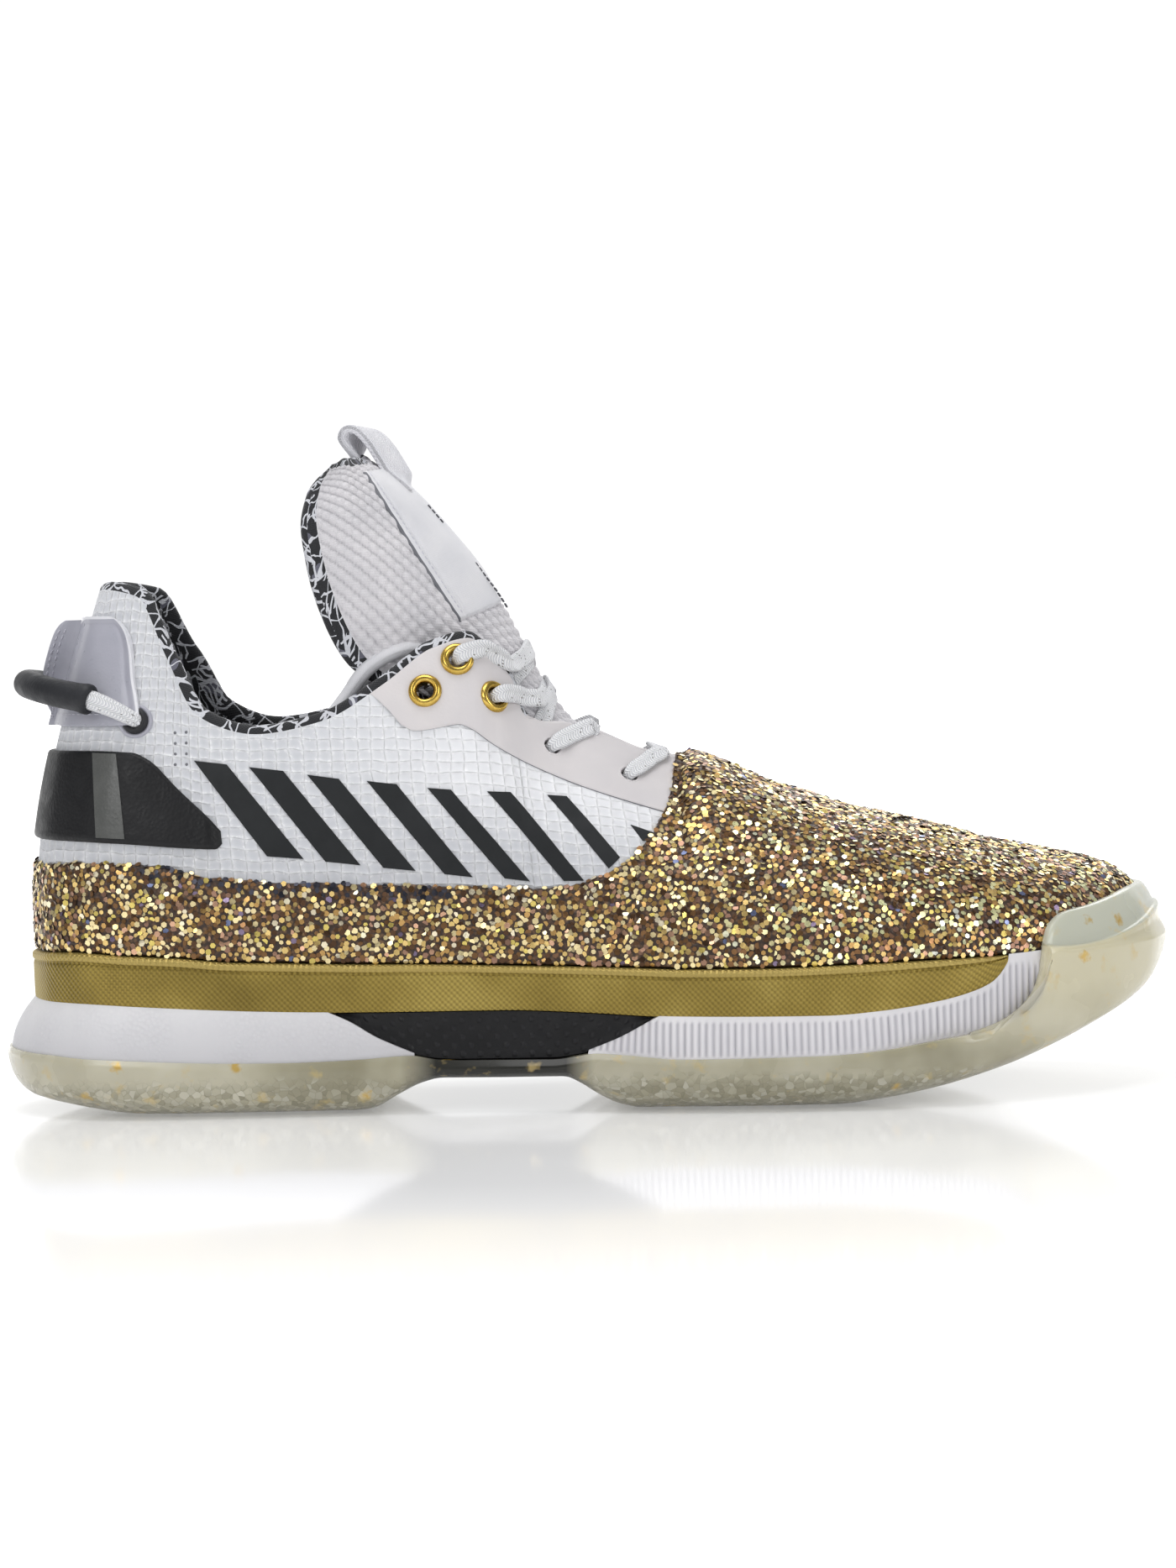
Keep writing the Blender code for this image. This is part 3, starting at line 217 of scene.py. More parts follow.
def station(x):
    """Section number whose featherline is at x."""
    lo, hi = 0.0, float(LAST)
    for _ in range(50):
        mid = 0.5 * (lo + hi)
        lo, hi = (mid, hi) if row["foot_x"](mid) < x else (lo, mid)
    return 0.5 * (lo + hi)


def foot(u, side):
    """Featherline point and its outward direction in plan."""
    half = row["foot_out" if side < 0 else "foot_in"]
    step = 1e-3
    a, b = np.clip(u - step, 0, LAST), np.clip(u + step, 0, LAST)
    tx, ty = row["foot_x"](b) - row["foot_x"](a), side * (half(b) - half(a))
    tx = np.where((u <= 0) | (u >= LAST), 0.0, tx)
    size = np.hypot(tx, ty)
    return row["foot_x"](u), side * half(u), side * -ty / size, side * tx / size


def skin(u, side, v):
    """Outer face of the upper: section u, height fraction v (0 at the sole, 1 at the top line)."""
    u, v = np.broadcast_arrays(np.asarray(u, float), np.asarray(v, float))
    fx, fy, nx, ny = foot(u, side)
    fz = feather(fx) + 1.6 * GAP
    gap = row["top_out" if side < 0 else "top_in"](u)
    ex, ez = row["top_x"](u), row["top_z"](u)
    ey = ridge_y(ex) * (u >= RIDGE_FROM) + side * gap * (u < RIDGE_FROM)
    step = 1e-2
    a, b = np.clip(u - step, 0, LAST), np.clip(u + step, 0, LAST)
    slope = -(row["top_z"](b) - row["top_z"](a)) / np.maximum(row["top_x"](b) - row["top_x"](a), 1e-6)
    closed = 1.0 - np.clip(gap / 6.5, 0, 1)
    closed = np.where(u >= RIDGE_FROM - 1, closed, 0.0)
    lean = np.radians(row["lean"](u))
    in_h = (1 - closed) * np.cos(lean) + closed
    in_z = (1 - closed) * np.sin(lean) + closed * np.clip(slope, 0, 0.6) * nx
    pull, rise, bulge = row["pull"](u), row["rise"](u), row["bulge"](u)
    p0 = np.stack([fx, fy, fz], -1)
    p1 = np.stack([fx + bulge * nx, fy + bulge * ny, fz + rise], -1)
    p2 = np.stack([ex + pull * in_h * nx, ey + pull * in_h * ny, ez - pull * in_z], -1)
    p3 = np.stack([ex, ey, ez], -1)
    v = v[..., None]
    w = 1 - v
    return w ** 3 * p0 + 3 * w * w * v * p1 + 3 * w * v * v * p2 + v ** 3 * p3


def skin_normal(u, side, v):
    e = 1e-3
    du = skin(min(u + e, LAST), side, v) - skin(max(u - e, 0), side, v)
    dv = skin(u, side, min(v + e, 1.0)) - skin(u, side, max(v - e, 0.0))
    n = np.cross(du, dv) * -side
    return n / np.linalg.norm(n)


def height_at(u, side, line):
    """First height fraction at which section u reaches the side-view line z = line(x)."""
    v = np.linspace(0, 1, 121)
    p = skin(np.full_like(v, u), side, v)
    over = p[:, 2] - line(p[:, 0])
    if over[0] >= 0:
        return 0.0
    hit = np.nonzero(over >= 0)[0]
    if not len(hit):
        return 1.0
    i = hit[0]
    return v[i - 1] + (v[i] - v[i - 1]) * -over[i - 1] / (over[i] - over[i - 1])


def find_on_skin(side, x, z):
    """Section and height fraction of the point seen at (x, z) from the side."""
    u, v = station(x + 3), 0.8
    for _ in range(60):
        p = skin(u, side, v)
        pu = (skin(u + 1e-3, side, v) - p) / 1e-3
        pv = (skin(u, side, v + 1e-3) - p) / 1e-3
        jac = np.array([[pu[0], pv[0]], [pu[2], pv[2]]])
        step = np.linalg.solve(jac, np.array([x - p[0], z - p[2]]))
        u, v = u + np.clip(step[0], -0.5, 0.5), min(max(v + np.clip(step[1], -0.1, 0.1), 0.0), 0.999)
    return u, v


# ------------------------------------------------------------------ helpers over arrays
def unit(a):
    return a / np.maximum(np.linalg.norm(a, axis=-1, keepdims=True), 1e-12)


def step(a, b, x):
    t = np.clip((np.asarray(x, float) - a) / (b - a), 0, 1)
    return t * t * (3 - 2 * t)


def hump(x, mid, wide):
    return np.exp(-((np.asarray(x, float) - mid) / wide) ** 2)


# soft creases and swells of the upper: section, height fraction, their spreads, size along the normal
CREASES = ((17.3, 0.97, 0.30, 0.20, -0.55), (17.9, 1.0, 0.35, 0.22, 0.35), (18.6, 0.96, 0.30, 0.16, -0.35),
           (20.85, 0.98, 0.26, 0.16, -0.55), (22.2, 0.98, 0.25, 0.14, 0.25), (23.2, 0.94, 0.3, 0.12, -0.35),
           (8.2, 0.44, 1.1, 0.10, 0.90), (10.3, 0.46, 1.2, 0.11, 0.90), (12.2, 0.50, 1.0, 0.12, 0.60),
           (13.6, 0.52, 0.7, 0.10, 0.35), (3.4, 0.74, 0.5, 0.07, -0.35), (4.6, 0.80, 0.9, 0.10, 0.45))


def plain(u, s, v):
    u, s, v = np.broadcast_arrays(np.asarray(u, float), np.asarray(s, float), np.asarray(v, float))
    out = np.empty(u.shape + (3,))
    for side in (OUTER, INNER):
        m = s == side
        if m.any():
            out[m] = skin(u[m], side, v[m])
    return out


def normal(u, s, v):
    u, s, v = np.broadcast_arrays(np.asarray(u, float), np.asarray(s, float), np.asarray(v, float))
    e = 2e-3
    du = plain(np.minimum(u + e, LAST), s, v) - plain(np.maximum(u - e, 0), s, v)
    dv = plain(u, s, np.minimum(v + e, 1)) - plain(u, s, np.maximum(v - e, 0))
    return unit(np.cross(du, dv) * -s[..., None])


def body(u, s, v, off=0.0):
    """Creased outer face of the upper, moved out by off."""
    u, s, v = np.broadcast_arrays(np.asarray(u, float), np.asarray(s, float), np.asarray(v, float))
    d = np.zeros(u.shape)
    for cu, cv, wu, wv, size in CREASES:
        d += size * hump(u, cu, wu) * hump(v, cv, wv)
    return plain(u, s, v) + normal(u, s, v) * (d + off)[..., None]


def reach(us, s, line, n=201):
    """Height fraction at which each section first meets the side-view line z = line(x)."""
    us, s = np.broadcast_arrays(np.asarray(us, float), np.asarray(s, float))
    v = np.linspace(0, 1, n)
    p = plain(us[:, None], s[:, None], v[None])
    over = p[..., 2] - line(p[..., 0])
    hit = over >= 0
    i = np.clip(hit.argmax(1), 1, n - 1)
    r = np.arange(len(us))
    a, b = over[r, i - 1], over[r, i]
    out = v[i - 1] + (v[1] - v[0]) * np.clip(-a / np.where(b == a, 1, b - a), 0, 1)
    out = np.where(hit[:, 0], 0.0, out)
    return np.where(hit.any(1), out, 1.0)


U_GRID = np.linspace(0, LAST, 481)


def place(side, x, z):
    """Section and height fraction of points seen at (x, z) from the side."""
    x, z = np.broadcast_arrays(np.asarray(x, float), np.asarray(z, float))
    u = np.interp(x + 2, row["foot_x"](U_GRID), U_GRID)
    v = np.full(x.shape, 0.6)
    for _ in range(45):
        p = skin(u, side, v)
        pu = (skin(u + 1e-3, side, v) - p) / 1e-3
        pv = (skin(u, side, v + 1e-3) - p) / 1e-3
        det = pu[..., 0] * pv[..., 2] - pv[..., 0] * pu[..., 2]
        det = np.where(np.abs(det) < 1e-3, 1e-3, det)
        dx, dz = x - p[..., 0], z - p[..., 2]
        su = (dx * pv[..., 2] - pv[..., 0] * dz) / det
        sv = (pu[..., 0] * dz - dx * pu[..., 2]) / det
        u = np.clip(u + np.clip(su, -0.4, 0.4), 0, LAST - 0.01)
        v = np.clip(v + np.clip(sv, -0.08, 0.08), 0, 0.998)
    return u, v


def smooth_path(points, count):
    """Even points on a smooth curve through the route's own points."""
    pts = np.asarray(points, float)
    knots = np.concatenate([[0], np.cumsum(np.maximum(np.linalg.norm(np.diff(pts, axis=0), axis=1), 1e-6))])
    ext = np.vstack([2 * pts[0] - pts[1], pts, 2 * pts[-1] - pts[-2]])
    q = np.linspace(0, knots[-1], count)
    i = np.clip(np.searchsorted(knots, q, side="right") - 1, 0, len(pts) - 2)
    t = ((q - knots[i]) / (knots[i + 1] - knots[i]))[:, None]
    a, b, c, d = ext[i], ext[i + 1], ext[i + 2], ext[i + 3]
    return 0.5 * (2 * b + (c - a) * t + (2 * a - 5 * b + 4 * c - d) * t * t + (3 * b - 3 * c + d - a) * t ** 3)


def ring_frames(path):
    tangents = unit(np.gradient(path, axis=0))
    up = unit(np.cross(tangents[0], (0.3, 0.2, 1.0)))
    ups = []
    for t in tangents:
        up = unit(up - t * np.dot(up, t))
        ups.append(up)
    ups = np.array(ups)
    return ups, np.cross(tangents, ups)


def chaikin(points, rounds):
    """Round a polyline of points (..., n, 3), keeping its ends."""
    p = np.asarray(points, float)
    for _ in range(rounds):
        a, b = p[..., :-1, :], p[..., 1:, :]
        mid = np.stack([0.75 * a + 0.25 * b, 0.25 * a + 0.75 * b], -2)
        mid = mid.reshape(p.shape[:-2] + (-1, 3))
        p = np.concatenate([p[..., :1, :], mid, p[..., -1:, :]], -2)
    return p


# ------------------------------------------------------------------ meshes
def quads_of(cols, rows, closed=False, start=0):
    k = np.arange(cols if closed else cols - 1)
    m = (k + 1) % cols
    j = np.arange(rows - 1)
    a, b = k[:, None] * rows + j, m[:, None] * rows + j
    return (np.stack([a, b, b + 1, a + 1], -1).reshape(-1, 4) + start)


def lengths(grid):
    """Millimetre coordinates over a grid of points: along the columns' middle, and up each column."""
    mid = grid[:, grid.shape[1] // 2]
    s = np.concatenate([[0], np.cumsum(np.linalg.norm(np.diff(mid, axis=0), axis=1))])
    t = np.concatenate([np.zeros((len(grid), 1)), np.cumsum(np.linalg.norm(np.diff(grid, axis=1), axis=2), axis=1)], 1)
    return np.stack([np.broadcast_to(s[:, None], t.shape), t], -1)


class Bits:
    """Collects grids and loose faces for one mesh."""

    def __init__(self):
        self.points, self.uv, self.faces, self.index, self.tint, self.count = [], [], [], [], [], 0

    def grid(self, grid, closed=False, uv=None, mat=0, tint=None, keep=None, flip=False):
        grid = np.asarray(grid, float)
        cols, rows = grid.shape[:2]
        uv = lengths(grid) if uv is None else uv
        quads = quads_of(cols, rows, closed)
        mat = np.broadcast_to(np.asarray(mat), (len(quads),))
        if keep is not None:
            good = keep(grid.reshape(-1, 3)[quads].mean(1))
            quads, mat = quads[good], mat[good]
        if flip:
            quads = quads[:, ::-1]
        return self.loose(grid.reshape(-1, 3), quads, uv.reshape(-1, 2), mat, tint)

    def loose(self, points, faces, uv=None, mat=0, tint=None):
        n = len(points)
        self.points.append(points)
        self.uv.append(np.zeros((n, 2)) if uv is None else uv)
        self.tint.append(np.ones((n, 3)) if tint is None else np.broadcast_to(tint, (n, 3)))
        faces = np.asarray(faces)
        self.faces += [tuple(f) for f in (faces + self.count).tolist()]
        self.index.append(np.broadcast_to(np.asarray(mat), (len(faces),)))
        self.count += n
        return self

    def make(self, name, mats, node=None, slot=None, weld=True, sharp=50.0, smooth=True):
        pts = (np.vstack(self.points) - (CENTRE[0], CENTRE[1], 0.0)) * MM
        mesh = bpy.data.meshes.new(name)
        mesh.from_pydata(pts.tolist(), [], self.faces)
        loops = np.empty(len(mesh.loops), np.int32)
        mesh.loops.foreach_get("vertex_index", loops)
        layer = mesh.uv_layers.new(name="mm")
        layer.data.foreach_set("uv", np.vstack(self.uv)[loops].astype(np.float32).ravel())
        mesh.polygons.foreach_set("material_index", np.concatenate(self.index).astype(np.int32))
        tint = mesh.color_attributes.new("tint", "FLOAT_COLOR", "POINT")
        tint.data.foreach_set("color", np.hstack([np.vstack(self.tint), np.ones((len(pts), 1))]).astype(np.float32).ravel())
        if weld:
            bm = bmesh.new()
            bm.from_mesh(mesh)
            bmesh.ops.remove_doubles(bm, verts=bm.verts[:], dist=3e-6)
            bmesh.ops.dissolve_degenerate(bm, dist=1e-7, edges=bm.edges[:])
            bm.to_mesh(mesh)
            bm.free()
        if smooth:
            mesh.shade_smooth()
            mesh.set_sharp_from_angle(angle=math.radians(sharp))
        for m in mats if isinstance(mats, (list, tuple)) else [mats]:
            mesh.materials.append(m)
        obj = bpy.data.objects.new(name, mesh)
        bpy.context.scene.collection.objects.link(obj)
        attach(obj, "root")
        if node:
            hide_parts(*([node] if isinstance(node, str) else node))
        return obj


def tube_grid(path, radius, sides):
    """Grid round a path; radius may change along it. Its ends stay open."""
    a, b = ring_frames(path)
    turn = np.linspace(0, 2 * math.pi, sides, endpoint=False)
    radius = np.broadcast_to(np.asarray(radius, float), (len(path),))
    ring = np.cos(turn)[None, :, None] * a[:, None] + np.sin(turn)[None, :, None] * b[:, None]
    grid = path[:, None] + radius[:, None, None] * ring
    return grid.transpose(1, 0, 2)          # columns go round, rows run along


def strip(path, ups, wide, thick, power=0.55, sides=20):
    """Flat rounded strip along a path, its face turned to ups; wide and thick may change along it."""
    t = unit(np.gradient(path, axis=0))
    across = unit(np.cross(t, ups))
    face = np.cross(across, t)
    turn = np.linspace(0, 2 * math.pi, sides, endpoint=False)
    ca, sa = np.cos(turn), np.sin(turn)
    x = np.sign(ca) * np.abs(ca) ** power
    y = np.sign(sa) * np.abs(sa) ** power
    wide, thick = (np.broadcast_to(np.asarray(q, float), (len(path),))[:, None, None] for q in (wide, thick))
    grid = path[:, None] + across[:, None] * (wide / 2 * x[None, :, None]) + face[:, None] * (thick / 2 * y[None, :, None])
    return grid.transpose(1, 0, 2)


# ------------------------------------------------------------------ materials
def srgb(r, g, b):
    c = np.array([r, g, b], float) / 255
    return tuple(np.where(c <= 0.04045, c / 12.92, ((c + 0.055) / 1.055) ** 2.4))


class Shade:
    """One procedural material and short calls for its nodes."""

    def __init__(self, name, **sockets):
        self.mat = bpy.data.materials.new(name)
        self.mat.use_nodes = True
        self.tree = self.mat.node_tree
        self.bsdf = self.tree.nodes["Principled BSDF"]
        for key, value in sockets.items():
            self.put(self.bsdf, key.replace("_", " "), value)

    def put(self, node, key, value):
        socket = node.inputs[key]
        if isinstance(value, bpy.types.NodeSocket):
            self.tree.links.new(value, socket)
        elif socket.type == "RGBA":
            socket.default_value = (*value[:3], 1.0)
        else:
            socket.default_value = value

    def set(self, key, value):
        self.put(self.bsdf, key, value)
        return self

    def node(self, kind, ins=None, out=0, **props):
        n = self.tree.nodes.new(kind)
        for k, v in props.items():
            setattr(n, k, v)
        for k, v in (ins or {}).items():
            self.put(n, k, v)
        return n.outputs[out]

    def space(self):
        return self.node("ShaderNodeTexCoord", out="Object")

    def uv(self):
        return self.node("ShaderNodeUVMap", uv_map="mm")

    def tint(self):
        return self.node("ShaderNodeVertexColor", layer_name="tint", out="Color")

    def math(self, op, a, b=0.0, clamp=False):
        return self.node("ShaderNodeMath", {0: a, 1: b}, operation=op, use_clamp=clamp)

    def noise(self, vec, scale, detail=2.0, rough=0.5):
        return self.node("ShaderNodeTexNoise", {"Vector": vec, "Scale": scale, "Detail": detail, "Roughness": rough})

    def cells(self, vec, scale, feature="F1", out="Distance", random=1.0):
        return self.node("ShaderNodeTexVoronoi", {"Vector": vec, "Scale": scale, "Randomness": random}, out=out,
                         feature=feature)

    def ramp(self, fac, *stops, mode="LINEAR"):
        n = self.tree.nodes.new("ShaderNodeValToRGB")
        n.color_ramp.interpolation = mode
        for i, (pos, col) in enumerate(stops):
            e = n.color_ramp.elements[i] if i < 2 else n.color_ramp.elements.new(pos)
            e.position = pos
            e.color = (*col, 1.0) if not np.isscalar(col) else (col, col, col, 1.0)
        self.put(n, "Fac", fac)
        return n.outputs["Color"]

    def span(self, x, a, b, c=0.0, d=1.0):
        return self.node("ShaderNodeMapRange", {"Value": x, 1: a, 2: b, 3: c, 4: d})

    def mix(self, fac, a, b, blend="MIX"):
        return self.node("ShaderNodeMix", {0: fac, 6: a, 7: b}, out=2, data_type="RGBA", blend_type=blend)

    def axis(self, vec, which):
        return self.node("ShaderNodeSeparateXYZ", {0: vec}, out=which)

    def turned(self, vec, degrees, scale=(1.0, 1.0, 1.0)):
        return self.node("ShaderNodeMapping", {"Vector": vec, "Rotation": (0, 0, math.radians(degrees)), "Scale": scale})

    def wave(self, x, pitch):
        """Sine of a millimetre coordinate, -1 to 1."""
        return self.math("SINE", self.math("MULTIPLY", x, 2 * math.pi / pitch))

    def bump(self, height, depth_mm, strength=1.0, under=None):
        ins = {"Height": height, "Strength": strength, "Distance": depth_mm * MM}
        if under is not None:
            ins["Normal"] = under
        return self.node("ShaderNodeBump", ins)


def cloth_material():
    """White ripstop: squares between raised, uneven lighter lines with painted glints, a fine thread weave under them,
    a painted lit band at the front below the eyestay and painted shade towards the bottom.
    """
    m = Shade("white_ripstop", Roughness=0.72)
    m.set("Sheen Weight", 0.25).set("Sheen Roughness", 0.45)
    uv, at_ = m.uv(), m.space()
    a, b = m.axis(uv, 0), m.axis(uv, 1)
    sway = m.math("MULTIPLY", m.math("SUBTRACT", m.noise(uv, 0.16, 1.0), 0.5), 1.8)
    sa = m.math("ABSOLUTE", m.wave(m.math("ADD", a, sway), 6.9))
    sb = m.math("ABSOLUTE", m.wave(m.math("SUBTRACT", b, sway), 5.7))
    square = m.math("POWER", m.math("MULTIPLY", sa, sb), 0.42)
    threads = m.math("MULTIPLY", m.wave(a, 0.62), m.wave(b, 0.62))
    soft, glint = m.noise(at_, 55, 3), m.noise(uv, 0.9, 3.0, 0.65)
    base = m.mix(square, srgb(238, 238, 240), srgb(201, 203, 207))
    base = m.mix(m.span(soft, 0.35, 0.7, 0.0, 0.4), base, srgb(212, 213, 219))
    # Painted highlight: white glints on the raised lines where the noise is high.
    base = m.mix(m.math("MULTIPLY", m.span(glint, 0.5, 0.66, 0.0, 0.9), m.span(square, 0.85, 0.5)), base, srgb(252, 252, 253))
    base = m.mix(m.span(threads, -1, 1, 0.0, 0.14), base, srgb(176, 180, 190))
    x, z = m.axis(at_, 0), m.axis(at_, 2)
    # Painted light: the front band between the bars' tops and the eyestay is painted lighter, as if lit from above.
    over = m.math("ADD", m.math("SUBTRACT", z, 0.080), m.math("MULTIPLY", m.math("ADD", x, 0.0345), 0.17))
    front = m.math("MULTIPLY", m.math("MULTIPLY", m.span(over, -0.010, 0.006), m.span(x, -0.075, -0.030)), m.span(x, 0.050, 0.020))
    base = m.mix(m.math("MULTIPLY", front, 0.55), base, srgb(250, 250, 252))
    # Painted shade: the cloth darkens towards the bottom, near the rand, as if lit from above.
    base = m.mix(m.span(z, 0.072, 0.046, 0.0, 0.44), base, srgb(166, 167, 172))
    m.set("Base Color", base)
    m.set("Roughness", m.span(square, 0, 1, 0.58, 0.8))
    n = m.bump(threads, 0.05, 0.6)
    n = m.bump(m.math("ADD", m.math("MULTIPLY", square, -1.0), m.math("MULTIPLY", glint, 0.25)), 0.5, 1.0, n)
    m.set("Normal", m.bump(soft, 1.2, 0.25, n))
    return m.mat


def lining_material(name="printed_lining"):
    """Black knit with curved white strokes: a plain random brush pattern, hatched here and there."""
    m = Shade(name, Roughness=0.8)
    m.set("Sheen Weight", 0.2)
    uv = m.uv()

    def bent(scale, size):
        swirl = m.node("ShaderNodeTexNoise", {"Vector": uv, "Scale": scale, "Detail": 1.5}, out=1)
        off = m.node("ShaderNodeVectorMath", {0: swirl, 1: (0.5, 0.5, 0.5)}, operation="SUBTRACT")
        off = m.node("ShaderNodeVectorMath", {0: off, 1: (size, size, 0.0)}, operation="MULTIPLY")
        return m.node("ShaderNodeVectorMath", {0: uv, 1: off}, operation="ADD")

    soft, tight = bent(0.12, 10.5), bent(0.24, 6.4)
    region = m.noise(uv, 0.15, 1.0)
    first = m.math("ABSOLUTE", m.wave(m.axis(m.turned(soft, 28), 0), 8.6))
    second = m.math("ABSOLUTE", m.wave(m.axis(m.turned(tight, -52), 0), 10.4))
    fine = m.wave(m.axis(m.turned(soft, 62), 0), 1.7)
    lines = m.math("MAXIMUM", m.math("LESS_THAN", first, m.span(region, 0.3, 0.7, 0.12, 0.36)), m.math("LESS_THAN", second, 0.17))
    strokes = m.math("MULTIPLY", m.math("GREATER_THAN", fine, 0.25), m.math("GREATER_THAN", region, 0.56))
    white = m.math("MAXIMUM", lines, strokes)
    ground_ = m.mix(m.math("GREATER_THAN", m.noise(uv, 0.19, 0.0), 0.70), srgb(27, 28, 32), srgb(96, 96, 108))
    m.set("Base Color", m.mix(white, ground_, srgb(204, 205, 211)))
    a, b = m.axis(uv, 0), m.axis(uv, 1)
    knit = m.math("MULTIPLY", m.wave(a, 0.8), m.wave(b, 0.8))
    m.set("Normal", m.bump(knit, 0.10, 0.7))
    return m.mat


def plain_cloth(name, light, dark, pitch=0.7, depth=0.08, rough=0.7, valley_shade=None):
    m = Shade(name, Roughness=rough)
    m.set("Sheen Weight", 0.2)
    uv, at_ = m.uv(), m.space()
    knit = m.math("MULTIPLY", m.wave(m.axis(uv, 0), pitch), m.wave(m.axis(uv, 1), pitch))
    soft = m.noise(at_, 90, 3)
    col = m.mix(m.span(soft, 0.3, 0.75), light, dark)
    if valley_shade is not None:
        # Painted shade: the tint darkens the valleys of the weave toward this colour.
        col = m.mix(m.axis(m.tint(), 0), valley_shade, col)
    m.set("Base Color", m.mix(m.span(knit, -1, 1, 0.0, 0.25), col, tuple(0.7 * c for c in dark)))
    m.set("Normal", m.bump(soft, 0.6, 0.3, m.bump(knit, depth, 0.7)))
    return m.mat


def skin_material(name, light, dark, rough=0.5, grain=900, depth=0.06, coat=0.0, sheen=0.0):
    """Smooth coated leather-like face with a fine grain."""
    m = Shade(name, Roughness=rough)
    m.set("Coat Weight", coat).set("Coat Roughness", 0.3).set("Sheen Weight", sheen)
    at_ = m.space()
    soft, fine = m.noise(at_, 60, 3), m.cells(at_, grain, "F1")
    m.set("Base Color", m.mix(m.span(soft, 0.3, 0.72), light, dark))
    m.set("Roughness", m.span(m.noise(at_, 400, 2), 0.3, 0.7, rough - 0.06, rough + 0.08))
    m.set("Normal", m.bump(soft, 0.8, 0.25, m.bump(fine, depth, 0.5)))
    return m.mat


def glitter_ground():
    m = Shade("glitter_ground", Roughness=0.42, Metallic=0.25)
    at_ = m.space()
    lump = m.cells(at_, 850, "F1")
    soft = m.noise(at_, 130, 4)
    col = m.ramp(soft, (0.30, srgb(70, 52, 42)), (0.48, srgb(112, 82, 58)), (0.62, srgb(140, 108, 70)), (0.75, srgb(90, 72, 68)))
    m.set("Base Color", m.mix(m.span(lump, 0.0, 0.6), col, srgb(58, 44, 36)))
    m.set("Normal", m.bump(lump, 0.35, 0.8))
    return m.mat


def flake_material():
    m = Shade("glitter_flakes", Roughness=0.26, Metallic=0.86)
    at_ = m.space()
    m.set("Base Color", m.tint())
    m.set("Roughness", m.span(m.noise(at_, 700, 2), 0.3, 0.7, 0.18, 0.40))
    return m.mat


def gold_material():
    """Satin gold band: diagonal wires and a plain lip along its top, painted lighter as a highlight."""
    m = Shade("gold_weave", Metallic=0.55, Roughness=0.42)
    uv, at_ = m.uv(), m.space()
    up = m.axis(uv, 1)
    h1 = m.wave(m.axis(m.turned(uv, -44), 0), 1.1)
    h2 = m.wave(m.axis(m.turned(uv, 46), 0), 1.0)
    wires = m.math("ADD", m.math("MULTIPLY", h1, 0.62), m.math("MULTIPLY", h2, 0.38))
    soft = m.noise(at_, 38, 3)
    col = m.ramp(soft, (0.3, srgb(138, 118, 50)), (0.5, srgb(163, 141, 65)), (0.68, srgb(186, 164, 85)))
    col = m.mix(m.span(wires, -0.8, 0.8, 0.54, 0.0), col, srgb(94, 78, 29))
    # Painted highlight: the lip, marked by the tint, gets a lighter plain gold.
    m.set("Base Color", m.mix(m.axis(m.tint(), 0), col, srgb(178, 156, 88)))
    m.set("Roughness", m.span(soft, 0.3, 0.7, 0.34, 0.48))
    m.set("Normal", m.bump(wires, 0.14, 0.8))
    return m.mat


def foam_material():
    m = Shade("white_foam", Roughness=0.5)
    m.set("Subsurface Weight", 0.12).set("Subsurface Radius", (1.0, 0.9, 0.95)).set("Subsurface Scale", 0.0015)
    at_ = m.space()
    soft, grain = m.noise(at_, 45, 3), m.cells(at_, 950, "F1")
    patch = m.span(m.noise(at_, 70, 2), 0.36, 0.66)
    # Painted light: the foam is painted darker at the bottom and lighter towards its top edge.
    rise = m.span(m.math("ADD", m.axis(at_, 2), m.math("MULTIPLY", soft, 0.004)), 0.014, 0.029)
    col = m.mix(rise, srgb(200, 199, 203), srgb(224, 223, 225))
    m.set("Base Color", m.mix(m.math("MULTIPLY", patch, m.span(grain, 0.0, 0.7, 0.0, 0.22)), col, srgb(196, 195, 201)))
    m.set("Roughness", m.span(soft, 0.3, 0.7, 0.42, 0.56))
    m.set("Normal", m.bump(m.math("MULTIPLY", grain, patch), 0.2, 0.8))
    return m.mat


def rib_material():
    m = Shade("ribbed_foam", Roughness=0.5)
    m.set("Subsurface Weight", 0.1).set("Subsurface Radius", (1.0, 0.9, 0.95)).set("Subsurface Scale", 0.001)
    at_ = m.space()
    soft = m.noise(at_, 60, 3)
    col = m.mix(m.span(soft, 0.3, 0.7), srgb(230, 228, 231), srgb(216, 214, 218))
    # Painted shade: the tint darkens the grooves between the ribs.
    m.set("Base Color", m.mix(m.axis(m.tint(), 0), srgb(172, 170, 177), col))
    m.set("Normal", m.bump(m.noise(at_, 900, 2), 0.06, 0.6))
    return m.mat


